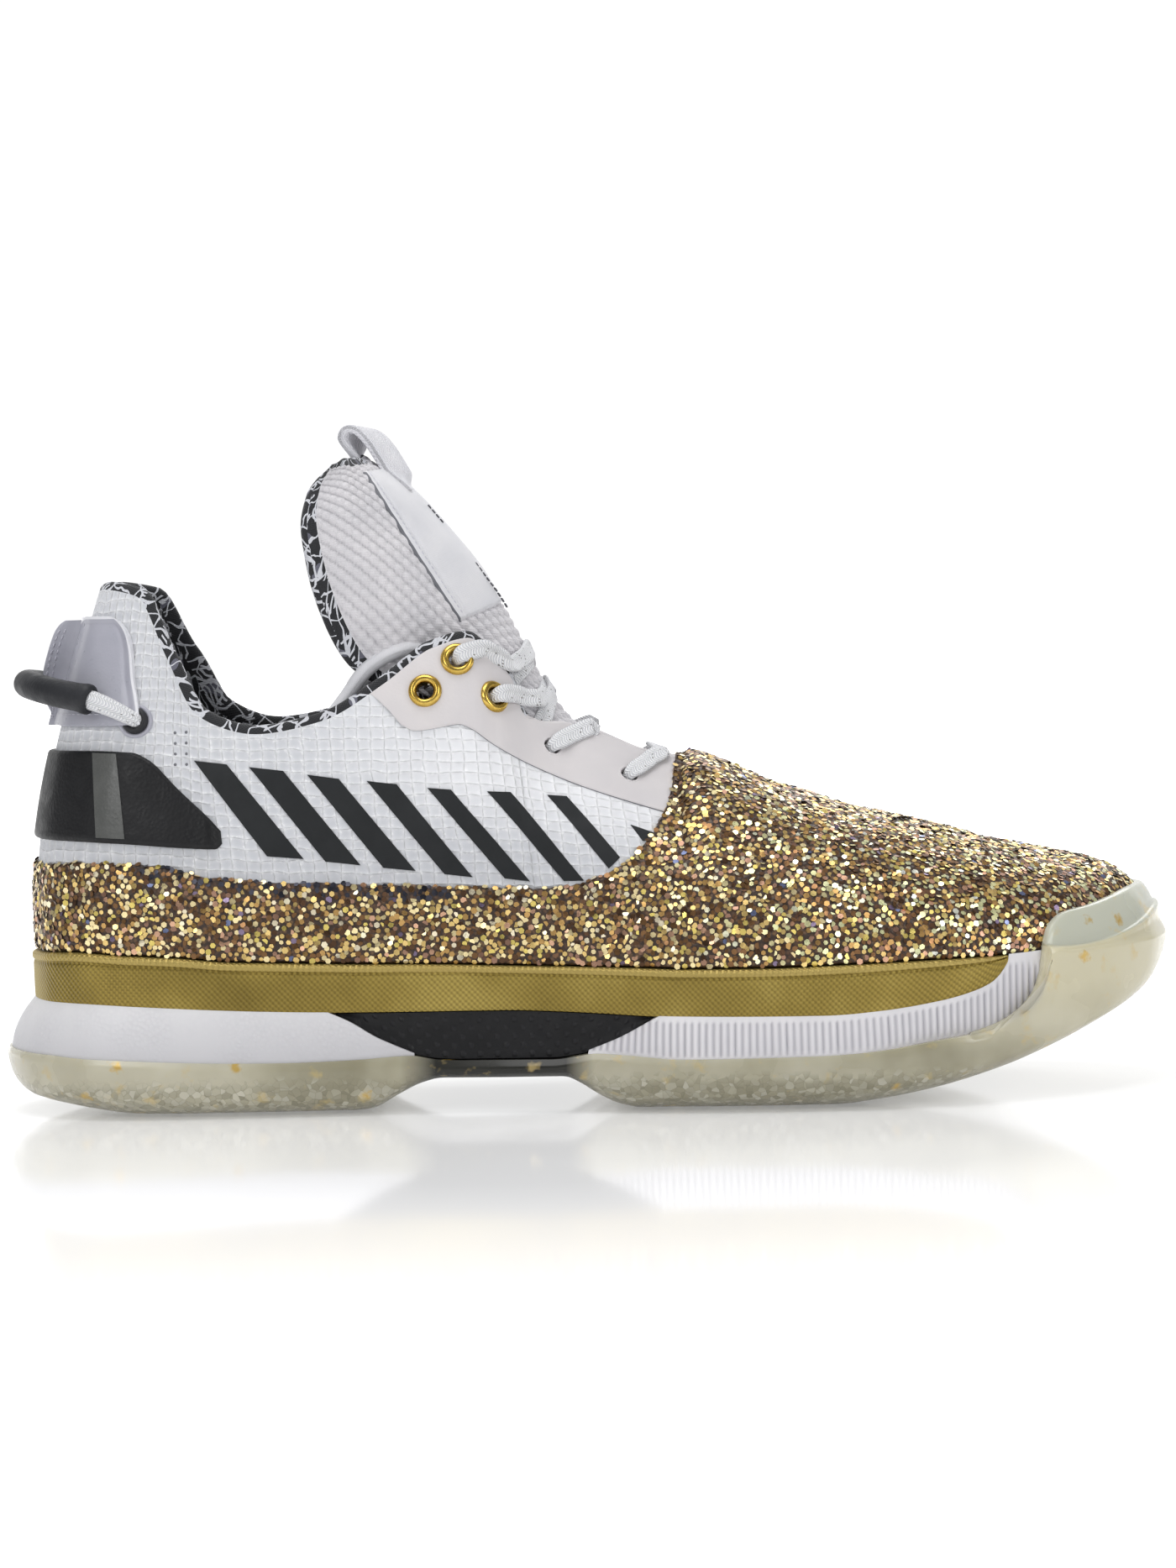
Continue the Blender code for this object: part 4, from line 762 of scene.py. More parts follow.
def rubber_material():
    """Clear greenish rubber: facets low down, gold flecks, the dark arch showing through."""
    m = Shade("clear_rubber", Roughness=0.22, IOR=1.48)
    m.set("Subsurface Weight", 0.55).set("Subsurface Radius", (1.0, 0.95, 0.75)).set("Subsurface Scale", 0.004)
    m.set("Coat Roughness", 0.12).set("Specular IOR Level", 0.35)
    at_ = m.space()
    x, z = m.axis(at_, 0), m.axis(at_, 2)
    soft = m.noise(at_, 42, 3)
    col = m.ramp(soft, (0.32, srgb(152, 147, 124)), (0.5, srgb(178, 173, 151)), (0.68, srgb(198, 194, 175)))
    facet = m.cells(at_, 600, "F1", out="Color")
    edge = m.cells(at_, 600, "DISTANCE_TO_EDGE")
    low = m.span(m.math("ADD", z, m.math("MULTIPLY", m.axis(facet, 0), 0.003)), 0.0112, 0.0088)
    col = m.mix(m.span(x, -0.060, -0.095, 0.0, 0.4), col, srgb(208, 203, 182))
    ball = m.math("MULTIPLY", m.span(x, 0.000, 0.020), m.span(x, 0.100, 0.070))
    col = m.mix(m.math("MULTIPLY", ball, m.span(low, 0.0, 1.0, 0.14, 0.60)), col, srgb(140, 135, 112))
    col = m.mix(m.math("MULTIPLY", low, m.span(m.axis(facet, 0), 0, 1, 0.08, 0.72)), col, srgb(120, 116, 94))
    col = m.mix(m.math("MULTIPLY", low, m.span(m.axis(facet, 1), 0.6, 1, 0.0, 0.42)), col, srgb(222, 219, 205))
    col = m.mix(m.math("MULTIPLY", low, m.span(edge, 0.07, 0.0, 0.0, 0.35)), col, srgb(110, 106, 84))
    arch = m.math("MULTIPLY", m.span(x, -0.0480, -0.039), m.span(x, 0.0010, -0.006))
    col = m.mix(m.math("MULTIPLY", arch, 0.97), col, srgb(25, 26, 25))
    m.set("Coat Weight", m.math("SUBTRACT", 0.35, m.math("MULTIPLY", arch, 0.32)))
    m.set("Subsurface Weight", m.math("MAXIMUM", m.math("SUBTRACT", m.math("SUBTRACT", 0.55, m.math("MULTIPLY", arch, 0.5)),
                                                         m.math("MULTIPLY", low, 0.44)), 0.0))
    t = m.math("SUBTRACT", m.math("MULTIPLY", x, 1000.0), 120.0)
    line = m.math("ADD", m.math("ADD", m.math("MULTIPLY", m.math("MULTIPLY", t, t), 0.009525), m.math("MULTIPLY", t, -0.0572)), 38.8)
    above = m.span(m.math("SUBTRACT", m.math("MULTIPLY", z, 1000.0), line), -0.25, 0.25)
    toe = m.math("MULTIPLY", m.span(x, 0.108, 0.113), above)
    shade = m.math("MULTIPLY", m.span(x, 0.085, 0.115), m.span(z, 0.012, 0.030))
    col = m.mix(m.math("MULTIPLY", shade, 0.75), col, srgb(216, 209, 180))
    col = m.mix(m.math("MULTIPLY", toe, 0.85), col, srgb(190, 193, 180))
    haze = m.noise(at_, 150, 3, 0.6)
    col = m.mix(m.span(haze, 0.60, 0.72, 0.0, 0.55), col, srgb(206, 182, 120))
    warp = m.node("ShaderNodeVectorMath", {0: at_, 1: m.node("ShaderNodeVectorMath", {
        0: m.node("ShaderNodeTexNoise", {"Vector": at_, "Scale": 600.0, "Detail": 2.0}, out=1), 1: (0.003, 0.003, 0.003)},
        operation="MULTIPLY")}, operation="ADD")
    fleck = m.cells(warp, 130, "F1")
    chosen = m.math("GREATER_THAN", m.axis(m.cells(warp, 130, "F1", out="Color"), 2), 0.85)
    gold = m.math("MULTIPLY", m.span(fleck, 0.25, 0.10, 0.0, 0.9), chosen)
    m.set("Base Color", m.mix(gold, col, srgb(206, 172, 88)))
    m.set("Metallic", m.math("MULTIPLY", gold, 0.35))
    m.set("Roughness", m.span(soft, 0.3, 0.7, 0.18, 0.34))
    tread = m.wave(m.math("ADD", m.math("MULTIPLY", x, 1000.0), m.math("ABSOLUTE", m.math("MULTIPLY", m.wave(
        m.math("MULTIPLY", m.axis(at_, 1), 1000.0), 18.0), 3.0))), 4.2)
    under = m.span(z, 0.0016, 0.0002)
    n = m.bump(toe, 0.5, 0.8, m.bump(m.math("MULTIPLY", tread, under), 0.9, 1.0))
    m.set("Normal", m.bump(m.math("MULTIPLY", m.axis(facet, 2), low), 0.45, 0.7, n))
    return m.mat


def moulding(name, light, dark, rough, texture=0.0, coat=0.0):
    m = Shade(name, Roughness=rough)
    m.set("Coat Weight", coat).set("Coat Roughness", 0.2).set("Specular IOR Level", 0.3)
    at_ = m.space()
    soft = m.noise(at_, 80, 3)
    m.set("Base Color", m.mix(m.span(soft, 0.3, 0.7), light, dark))
    m.set("Roughness", m.span(m.noise(at_, 300, 3), 0.3, 0.7, rough - 0.08, rough + 0.1))
    m.set("Normal", m.bump(m.cells(at_, 1100, "F1"), 0.05 + texture, 0.6))
    return m.mat


def dotted_black():
    """Arch moulding: satin black with rows of small dimples."""
    m = Shade("arch_black", Roughness=0.5)
    m.set("Specular IOR Level", 0.3)
    uv, at_ = m.uv(), m.space()
    dots = m.span(m.math("MULTIPLY", m.wave(m.axis(uv, 0), 4.4), m.wave(m.axis(uv, 1), 4.4)), 0.35, 0.9)
    soft = m.noise(at_, 80, 3)
    col = m.mix(m.span(soft, 0.3, 0.7), srgb(27, 27, 29), srgb(19, 19, 21))
    m.set("Base Color", m.mix(m.math("MULTIPLY", dots, 0.5), col, srgb(38, 38, 41)))
    m.set("Roughness", m.span(m.noise(at_, 300, 3), 0.3, 0.7, 0.42, 0.6))
    m.set("Normal", m.bump(dots, 0.3, 0.8, m.bump(m.cells(at_, 1100, "F1"), 0.08, 0.6)))
    return m.mat


def lace_material(name="woven_lace"):
    """Flat tubular weave with a herringbone and scattered metal threads."""
    m = Shade(name, Roughness=0.75)
    m.set("Sheen Weight", 0.3)
    uv = m.uv()
    along_, around = m.axis(uv, 1), m.axis(uv, 0)
    fold = m.math("ABSOLUTE", m.wave(around, 6.0))
    chevron = m.wave(m.math("ADD", along_, m.math("MULTIPLY", fold, 0.9)), 0.85)
    fleck = m.cells(m.turned(uv, 0, (1.3, 0.8, 1.0)), 1.0, "F1")
    chosen = m.math("GREATER_THAN", m.axis(m.cells(m.turned(uv, 0, (1.3, 0.8, 1.0)), 1.0, "F1", out="Color"), 0), 0.80)
    mark = m.math("MULTIPLY", m.math("LESS_THAN", fleck, 0.30), chosen)
    col = m.mix(m.span(chevron, -1, 1), srgb(208, 209, 214), srgb(246, 246, 247))
    m.set("Base Color", m.mix(mark, col, srgb(150, 148, 146)))
    m.set("Metallic", m.math("MULTIPLY", mark, 0.5))
    m.set("Normal", m.bump(chevron, 0.16, 0.8))
    return m.mat


def brass_material():
    m = Shade("brass", Metallic=1.0, Roughness=0.25)
    at_ = m.space()
    soft = m.noise(at_, 300, 3)
    m.set("Base Color", m.mix(m.span(soft, 0.3, 0.7), srgb(214, 182, 96), srgb(186, 152, 68)))
    m.set("Roughness", m.span(m.noise(at_, 1200, 2), 0.3, 0.7, 0.18, 0.34))
    m.set("Normal", m.bump(soft, 0.15, 0.3))
    return m.mat


CLOTH, LINING = cloth_material(), lining_material()
EYESTAY = skin_material("eyestay_grey", srgb(213, 208, 208), srgb(201, 197, 199), 0.56, 1300, 0.05, sheen=0.15)
# Painted shade: grey for the eyestay's lower edge, the tongue panel's border line, punched dots and the bottoms of bare
# lace holes, where shade falls.
EDGE_SHADE = skin_material("edge_shade_grey", srgb(120, 121, 126), srgb(98, 99, 105), 0.7, 900, 0.08)
# the valley colour is painted shade in the tongue's basket weave
TONGUE_CLOTH = plain_cloth("tongue_cloth", srgb(224, 221, 224), srgb(210, 208, 212), 0.75, 0.10, valley_shade=srgb(180, 178, 183))
PANEL = plain_cloth("tongue_panel", srgb(226, 225, 228), srgb(212, 212, 217), 0.5, 0.04, 0.6)
WEBBING = plain_cloth("webbing", srgb(232, 231, 235), srgb(210, 210, 217), 1.25, 0.22, 0.7)
BED = plain_cloth("bed_knit", srgb(74, 75, 80), srgb(52, 53, 58), 1.0, 0.16, 0.85)
GROUND_GLITTER, FLAKE, GOLD = glitter_ground(), flake_material(), gold_material()
FOAM, RIBS, RUBBER = foam_material(), rib_material(), rubber_material()
BLACK = moulding("satin_black", srgb(46, 47, 50), srgb(34, 34, 37), 0.42)
SHANK = dotted_black()
COUNTER = moulding("counter_black", srgb(24, 24, 26), srgb(17, 17, 19), 0.46, 0.08, 0.02)
WINDOW = moulding("grey_window", srgb(91, 92, 90), srgb(75, 76, 74), 0.25, 0.0, 0.3)
PRINT = moulding("dark_print", srgb(34, 36, 38), srgb(26, 28, 30), 0.55)
STRAP = skin_material("silver_strap", srgb(174, 174, 184), srgb(154, 154, 166), 0.32, 1500, 0.04, coat=0.3)
# Partly painted highlight: the strap's edge faces are near white, partly a light piping and partly the edge's
# highlight.
PIPING_HIGHLIGHT = skin_material("strap_edge_highlight", srgb(226, 226, 230), srgb(208, 208, 214), 0.4, 1500, 0.04)
FIN = skin_material("silver_fin", srgb(170, 170, 180), srgb(150, 150, 162), 0.38, 1500, 0.05, coat=0.1)
THREAD = plain_cloth("thread", srgb(214, 213, 222), srgb(184, 183, 196), 0.5, 0.1)
DARK_THREAD = plain_cloth("dark_thread", srgb(92, 92, 100), srgb(64, 64, 72), 0.5, 0.1)
GRIP = moulding("matte_grip", srgb(42, 43, 47), srgb(32, 33, 36), 0.55, 0.05)
LACE, BRASS = lace_material(), brass_material()
CORD = lace_material("round_cord")


# ------------------------------------------------------------------ sole pieces
def at(u, side, offset, z):
    """Point beside the featherline, offset outward in plan, at height z (a number or a function of x)."""
    fx, fy, nx, ny = foot(u, side)
    x = float(fx + nx * offset)
    return np.array([x, float(fy + ny * offset), float(z(x) if callable(z) else z)])


def outsole_ring(u, side):
    fx, fy, nx, ny = (float(q) for q in foot(u, side))
    flare, flank = float(row["flare"](u)), abs(ny)
    waist = float(np.clip(1 - abs(fx - 130 * SX) / (38 * SX), 0, 1)) ** 0.5
    rim = at(u, side, flare - 0.8, out_top)
    lip = float(wrap_top(fx + nx * flare)) if fx > 247 * SX else rim[2]
    wrapped = float(np.clip((fx - 252 * SX) / (16 * SX), 0, 1))
    deep = rim[2] - float(ground(rim[0]))
    bottom = [at(u, side, -13.0, ground), at(u, side, -5.0, ground), at(u, side, 0.1 * flare, ground),
              at(u, side, 0.8 * flare, ground), at(u, side, flare, ground)]
    bottom[1][2] += 0.6 * flank * (1 - waist)
    bottom[2][2] += 0.16 * deep * flank + 0.4 * flank
    bottom[3][2] += 0.40 * deep * flank
    level = (1 - wrapped) * (rim[2] - 2.2) + wrapped * (feather(fx) - 1.6)
    bottom[4][2] = max(float(level), bottom[3][2] + 0.4)
    if lip - rim[2] < 0.15:
        return bottom + [rim] * 7
    inside = 2.0 + GAP
    rows = []
    for part, thick in ((0.62, 1.6 + 1.2 * wrapped), (1.0, 1.3), (1.0, 0.0), (0.72, 0.0), (0.4, 0.0)):
        z = rim[2] + (lip - rim[2]) * part
        v = height_at(u, side, lambda x, z=z: np.full_like(x, z))
        face = skin(u, side, v)
        base = np.hypot(face[0] - fx, face[1] - fy) * np.sign((face[0] - fx) * nx + (face[1] - fy) * ny)
        off = inside + 0.9 * part + max(float(base), -6.0) + thick * (0.55 + 0.45 * wrapped)
        rows.append(at(u, side, off, z))
    rows.append(at(u, side, inside, out_top))
    return bottom + [at(u, side, flare - 0.8 * (1 - wrapped), bottom[4][2] + 1.2 if wrapped > 0 else rim[2])] + rows


def foam_ring(low, high, spread):
    """Foam block from the outsole's rim up to the band: wide below, flush with the band above."""
    def ring(u, side):
        fx = float(row["foot_x"](u))
        flare = float(row["flare"](u))
        wide = spread(fx, flare)
        top = 1.5
        z0, z1 = low(fx) + GAP, high(fx) - GAP
        z1 = max(z1, z0 + 0.4)
        out = []
        for part, share in ((0.0, 1.0), (0.35, 0.86), (0.7, 0.5), (1.0, 0.0)):
            p = at(u, side, top + (wide - top) * share, 0.0)
            lo, hi = low(p[0]) + GAP, high(p[0]) - GAP
            p[2] = lo + max(hi - lo, 0.4) * part
            out.append(p)
        return out
    return ring


def heel_high(x):
    return float(np.where(x < 86.5 * SX, band_low(x), rear_ramp(x)))


def ball_high(x):
    return float(np.where(x < 170 * SX, front_ramp(x), np.where(x < 258.5 * SX, band_low(x), feather(x))))


def shank_low(x):
    rim = float(out_top(x))
    if x < 108 * SX:
        return float(rear_ramp(x))
    return float(np.maximum(front_ramp(x), rim)) if x > 152 * SX else rim


def heel_spread(x, flare):
    return flare - 1.2


def ball_spread(x, flare):
    return 1.5 + (flare - 2.7) * float(np.clip((245 - x / SX) / 24, 0, 1))


def shank_ring(u, side):
    return [at(u, side, off, lambda x, p=part: (shank_low(x) + GAP) * (1 - p) + (float(band_low(x)) - GAP) * p)
            for part, off in ((0.0, 0.3), (0.5, -0.4), (1.0, 0.8))]


def band_ring(u, side):
    return [at(u, side, off, lambda x, p=part: float(band_low(x)) * (1 - p) + float(feather(x)) * p)
            for part, off in ((0.0, 1.5), (0.8, 1.9), (1.0, 0.7))]


def insole_ring(u, side):
    base = [at(u, side, -WALL - 1.0, feather), at(u, side, -WALL - 0.8, feather), at(u, side, -WALL - 1.6, feather)]
    for p, up in zip(base, (GAP, GAP + 0.6 * INSOLE_THICK, GAP + INSOLE_THICK)):
        p[2] += up
    return base


foot_arc = np.concatenate([[0], np.cumsum(np.hypot(np.diff(row["foot_x"](U_GRID)), np.diff(row["foot_out"](U_GRID))))])


def stations(x_from, x_to, gap):
    a, b = (np.interp(station(x), U_GRID, foot_arc) for x in (x_from, x_to))
    us = np.interp(np.linspace(a, b, int((b - a) / gap) + 2), foot_arc, U_GRID)
    if x_from <= 9.5:
        us[0] = 0.0
    if x_to >= 297.5:
        us[-1] = LAST
    return us


def sole(us, ring, rounds=2, parts=5, shift=None, caps=(False, False)):
    """Closed solid with sections across the shoe; shift moves the two flanks outward in plan."""
    bits = Bits()
    flanks, tints = [], []
    for side in (OUTER, INNER):
        g = chaikin(np.array([ring(float(u), side) for u in us]), rounds)
        tint = np.ones(g.shape[:2])
        if shift is not None:
            _, _, nx, ny = foot(us, side)
            move, tint = shift(us, side, g)
            g = g + move[..., None] * np.stack([nx, ny, 0 * nx], -1)[:, None]
        flanks.append(g)
        tints.append(tint)
    left, right = flanks
    w = ((np.arange(parts) + 1) / (parts + 1))[None, :, None]
    top = left[:, -1:] * (1 - w) + right[:, -1:] * w
    low = right[:, :1] * (1 - w) + left[:, :1] * w
    grid = np.concatenate([left, top, right[:, ::-1], low, left[:, :1]], 1)
    one = np.ones((len(us), parts))
    tint = np.concatenate([tints[0], one, tints[1][:, ::-1], one, tints[0][:, :1]], 1)
    bits.grid(grid, tint=np.repeat(tint.reshape(-1, 1), 3, 1))
    n = grid.shape[1] - 1
    for on, g, turn in ((caps[0], grid[0], 1), (caps[1], grid[-1], -1)):
        if on:
            bits.loose(g[:n], np.arange(n)[::-turn][None], tint=(1.0, 1.0, 1.0))
    return bits


def step_line(x):
    """Height of the step across the toe wrap."""
    t = max(x - 272.5, 0.0)
    return 38.8 - 0.0572 * t + 0.009525 * t * t


def outsole_fine(u, side):
    fx, fy, nx, ny = (float(q) for q in foot(u, side))
    flare, flank = float(row["flare"](u)), abs(ny)
    waist = float(np.clip(1 - abs(fx - 130) / 38, 0, 1)) ** 0.5
    rim = at(u, side, flare - 0.8, out_top)
    lip = float(wrap_top(fx + nx * flare)) if fx > 247 else rim[2]
    wrapped = float(np.clip((fx - 252) / 16, 0, 1))
    deep = rim[2] - float(ground(rim[0]))
    bottom = [at(u, side, -13.0, ground), at(u, side, -5.0, ground), at(u, side, 0.1 * flare, ground),
              at(u, side, 0.8 * flare, ground), at(u, side, flare, ground)]
    bottom[1][2] += 0.6 * flank * (1 - waist)
    bottom[2][2] += 0.16 * deep * flank + 0.4 * flank
    bottom[3][2] += 0.40 * deep * flank
    level = (1 - wrapped) * (rim[2] - 2.2) + wrapped * (feather(fx) - 1.6)
    bottom[4][2] = max(float(level), bottom[3][2] + 0.4)
    if lip - rim[2] < 0.15:
        return bottom + [rim] * 14
    zl = max(min(step_line(fx + nx * flare), lip - 1.6), rim[2] + 0.4 * (lip - rim[2]))
    base_z = bottom[4][2] + 1.2 if wrapped > 0 else rim[2]
    rows = [at(u, side, flare - 0.8 * (1 - wrapped), min(base_z, zl - 0.9))]
    for z, total in ((base_z + 0.4 * (zl - base_z), 5.7), (zl - 0.9, 5.6), (zl - 0.45, 5.5), (zl - 0.1, 5.2), (zl + 0.15, 4.2),
                     (0.5 * (zl + lip), 4.1), (lip - 0.5, 3.9), (lip - 0.08, 3.5), (lip, 2.6), (lip - 0.08, 1.7), (lip - 0.8, 1.3),
                     (rim[2] + 0.4 * (lip - rim[2]), 1.3)):
        v = height_at(u, side, lambda x, z=z: np.full_like(x, z))
        face = skin(u, side, v)
        base = np.hypot(face[0] - fx, face[1] - fy) * np.sign((face[0] - fx) * nx + (face[1] - fy) * ny)
        rows.append(at(u, side, 1.3 + (total - 1.3) * (0.55 + 0.45 * wrapped) + max(float(base), -6.0), z))
    rows.append(at(u, side, 1.3, out_top))
    return bottom + rows


sole(stations(9.5, 297.5, 1.3), outsole_fine, 2, 9).make("outsole_fine", RUBBER, "outsole", "rubber", sharp=38)

heel_us = stations(9.5, 108.2, 1.2)
sole(heel_us, foam_ring(lambda x: float(out_top(x)) - 0.9, lambda x: heel_high(x) + 0.6, heel_spread), 2, 3, caps=(False, True)).make(
    "midsole_heel_fine", FOAM, "midsole_heel", "foam", sharp=45)
sole(stations(88.5, 168, 1.2), shank_ring, 2, 3, caps=(True, True)).make("shank_fine", SHANK, "shank", "black_plastic")

RIB = 1.8


def ribs(us, side, g):
    arc = np.interp(us, U_GRID, foot_arc)
    wave = np.cos(2 * math.pi * arc / RIB)
    x, z = g[..., 0], g[..., 2]
    under = np.array([[float(band_low(q)) for q in r] for r in x[:, -1:]])
    over = np.array([[float(out_top(q)) for q in r] for r in x[:, :1]])
    fade = step(over + 0.3, over + 1.0, z) * step(under - 0.8, under - 1.5, z)
    ridge = (2 * (0.5 + 0.5 * wave) ** 0.45 - 1)[:, None]
    # second value: painted shade, a tint that darkens the grooves between ribs
    return 0.26 * ridge * fade, 1 - (0.5 - 0.5 * ridge) * fade


def ball_ring(u, side):
    return foam_ring(lambda x: float(out_top(x)) - 0.9, lambda x: ball_high(x) + 0.6, ball_spread)(u, side)


sole(stations(152.6, 297.5, 0.28), ball_ring, 2, 1, shift=ribs, caps=(True, False)).make(
    "midsole_forefoot_fine", RIBS, "midsole_forefoot", "foam", sharp=80)


BAND_PROFILE = ((0.0, 1.45), (0.03, 1.7), (0.30, 1.78), (0.60, 1.85), (0.76, 1.85), (0.79, 1.55), (0.82, 1.60),
                (0.84, 2.05), (0.92, 2.15), (0.97, 1.9), (1.0, 0.9))


def gold_ring(u, side):
    return [at(u, side, off, lambda x, p=part: float(band_low(x)) * (1 - p) + float(feather(x)) * p)
            for part, off in BAND_PROFILE]


# Painted highlight: marks the band's top lip, which the gold material paints lighter.
def lip_highlight(us, side, g):
    t = np.linspace(0, 1, g.shape[1])
    lip = step(0.66, 0.70, t)
    return np.zeros(g.shape[:2]), np.broadcast_to(lip[None], g.shape[:2])


sole(stations(9.5, 257.8, 1.0), gold_ring, 1, 1, shift=lip_highlight, caps=(False, True)).make(
    "midsole_band_fine", GOLD, "midsole_band", "gold_weave", sharp=45)


def meet_wall(us, side, g):
    return np.full(g.shape[:2], 0.7), np.ones(g.shape[:2])


sole(stations(9.5, 297.5, 3.0), insole_ring, 1, 12, shift=meet_wall).make("insole_fine", BED, "insole", "bed")


# ------------------------------------------------------------------ upper
ROLL = 2.6              # printed lining rolled over the collar
NOTCH = ((10.5, 1.0), (10.68, 0.975), (10.83, 0.925), (11.08, 0.913), (11.39, 0.921), (11.83, 0.962), (12.12, 0.990),
         (12.4, 1.0))
EYESTAY_LOW = ((97.0, 108.6), (98.8, 107.0), (103.6, 102.4), (107.5, 98.2), (110.6, 97.0), (116.0, 97.6), (121.5, 98.4),
               (123.8, 97.6), (129.9, 93.1), (138.4, 87.9), (150.1, 82.4), (161.8, 78.1), (172.7, 74.6), (182.0, 72.0))
notch, eyestay_low = along(NOTCH), along(EYESTAY_LOW)


def roll_height(u):
    return (0.8 + (ROLL - 0.8) * step(11.35, 11.0, u)) * step(16.0, 15.2, u)


def top_v(u):
    return np.where((u > 10.5) & (u < 12.4), notch(u), 1.0)


def border_v(us, s):
    """Height fraction where the outer face ends and the rolled edge begins."""
    us, s = np.broadcast_arrays(np.asarray(us, float), np.asarray(s, float))
    f = np.linspace(0.75, 1.0, 101)
    v = top_v(us)[:, None] * f
    p = plain(us[:, None], s[:, None], v)
    gone = np.cumsum(np.linalg.norm(np.diff(p, axis=1), axis=2)[:, ::-1], axis=1)
    gone = np.concatenate([np.zeros((len(us), 1)), gone], 1)
    want = roll_height(us)
    return np.array([np.interp(w, g, r[::-1]) for w, g, r in zip(want, gone, v)])


def mend_ridge(grid, us, rows):
    """Make the two sides share their points along the closed ridge."""
    n = len(us)
    for i in np.nonzero(us[:n // 2] >= RIDGE_FROM - 1e-6)[0]:
        j = n - 1 - i
        mid = 0.5 * (grid[i, rows] + grid[j, rows])
        grid[i, rows] = mid
        grid[j, rows] = mid
    return grid


def loop(us):
    return np.concatenate([us, us[::-1]]), np.concatenate([np.full(len(us), OUTER), np.full(len(us), INNER)])


spots = {n: tuple(float(q) for q in place(OUTER, x, z)) for n, (x, z) in HOLES.items()}
holes = []
for name, (hu, hv) in spots.items():
    for side in (OUTER, INNER):
        holes.append((name, side, body(hu, side, hv), normal(hu, side, hv)))


def clear_of_holes(centres):
    good = np.ones(len(centres), bool)
    for name, side, p, n in holes:
        d = centres - p
        h = d @ n
        r = np.linalg.norm(d - h[:, None] * n, axis=1)
        good &= ~((r < (2.75 if name in METAL else 2.35)) & (np.abs(h) < 6))
    return good


def inner_wall(U, S, V):
    p = plain(U, S, V)
    top = row["top_z"](U)
    pad = PAD * np.clip(1 - (top - p[..., 2]) / 26.0, 0, 1) * np.clip((115.0 - p[..., 0]) / 14.0, 0, 1)
    return body(U, S, V, -(WALL + pad))


us = np.unique(np.concatenate([np.linspace(0, LAST, 24 * 9 + 1), np.linspace(9.5, 16, 131)]))
U, S = loop(us)
vb = border_v(U, S)
rows = 58
V = vb[:, None] * np.linspace(0, 1, rows)
outer_face = mend_ridge(body(U[:, None], S[:, None], V), U, -1)
VI = vb[:, None] * np.linspace(1, 0.0, 26)
inner_face = mend_ridge(inner_wall(U[:, None], S[:, None], VI), U, 0)
A, B = outer_face[:, -1], inner_face[:, 0]
up = unit(body(U, S, vb) - body(U, S, vb - 0.01))
edge_way = np.gradient(A, axis=0)
edge_way[len(us) - 1:len(us) + 1] = edge_way[len(us) - 2]
square_up = unit(np.cross(normal(U, S, vb), edge_way))
square_up *= np.sign(np.sum(square_up * up, -1, keepdims=True))
up = unit(up + (square_up - up) * (step(13.0, 11.0, U))[:, None])
turn = np.linspace(0, math.pi, 13)
lift = (np.sin(turn) ** 0.85)[None, :, None] * (roll_height(U) * np.where(S == INNER, 1 + 0.9 * hump(U, 3.6, 1.3), 1.0))[:, None, None]
roll = (0.5 * (A + B))[:, None] + (0.5 * (A - B))[:, None] * (np.cos(turn) * (1 + 0.10 * np.sin(turn)))[None, :, None] \
    + up[:, None] * lift
roll[:, 0], roll[:, -1] = A, B
open_cols = np.nonzero(U[:len(us)] <= RIDGE_FROM + 1e-6)[0]
bits = Bits()
bits.grid(outer_face, keep=clear_of_holes)
bits.grid(inner_face, mat=1, keep=clear_of_holes)
for cols in (open_cols, len(U) - 1 - open_cols[::-1]):
    g = roll[cols]
    mid_u = 0.5 * (U[cols][1:] + U[cols][:-1])
    kind = np.repeat(np.where(mid_u < 11.02, 1, 2), g.shape[1] - 1)
    bits.grid(g, mat=kind)
foot_strip = np.stack([inner_face[:, -1], outer_face[:, 0]], 1)
bits.grid(foot_strip)
bits.make("upper_fine", [CLOTH, LINING, EYESTAY], "upper", "white_weave", sharp=70)


# ------------------------------------------------------------------ overlays on the upper
def overlay(U, S, v0, v1, rows, high, low=-0.15, lip=0.6, open_top=None):
    """Slab lying on the upper between two height fractions, with rounded edges. Returns its grid."""
    high = np.broadcast_to(np.asarray(high, float), U.shape)
    long = np.linalg.norm(body(U, S, v1) - body(U, S, v0), axis=-1)
    e = np.clip(lip / np.maximum(long, 1e-3), 0, 0.3)[:, None]
    mid = np.linspace(0, 1, rows)[None]
    zero = np.zeros_like(e)
    t = np.concatenate([zero, zero, 0.35 * e, e + (1 - 2 * e) * mid, 1 - 0.35 * e, zero + 1, zero + 1], 1)
    one = np.ones((len(U), rows))
    h = high[:, None]
    edge_in = np.concatenate([zero + low, 0.55 * h, 0.88 * h], 1)
    edge_out = edge_in[:, ::-1].copy()
    if open_top is not None:
        edge_out[open_top] = h[open_top]
    off = np.concatenate([edge_in, one * h, edge_out], 1)
    return body(U[:, None], S[:, None], v0[:, None] + (v1 - v0)[:, None] * t, off)


def patch(bits, side, corners, n, m, high, low=-0.12, mat=0, base=0.0):
    """Four-cornered slab seen from the side (corners top left, top right, bottom right, bottom left)."""
    tl, tr, br, bl = (np.array(c, float) for c in corners)
    s = np.concatenate([[0], np.linspace(0, 1, n), [1]])[:, None, None]
    t = np.concatenate([[0], np.linspace(0, 1, m), [1]])[None, :, None]
    q = (bl * (1 - s) + br * s) * (1 - t) + (tl * (1 - s) + tr * s) * t
    u, v = place(side, q[..., 0], q[..., 1])
    off = np.full(u.shape, base + high)
    off[0], off[-1], off[:, 0], off[:, -1] = (base + low,) * 4
    return bits.grid(body(u, np.full(u.shape, side), v, off), mat=mat, flip=side > 0)


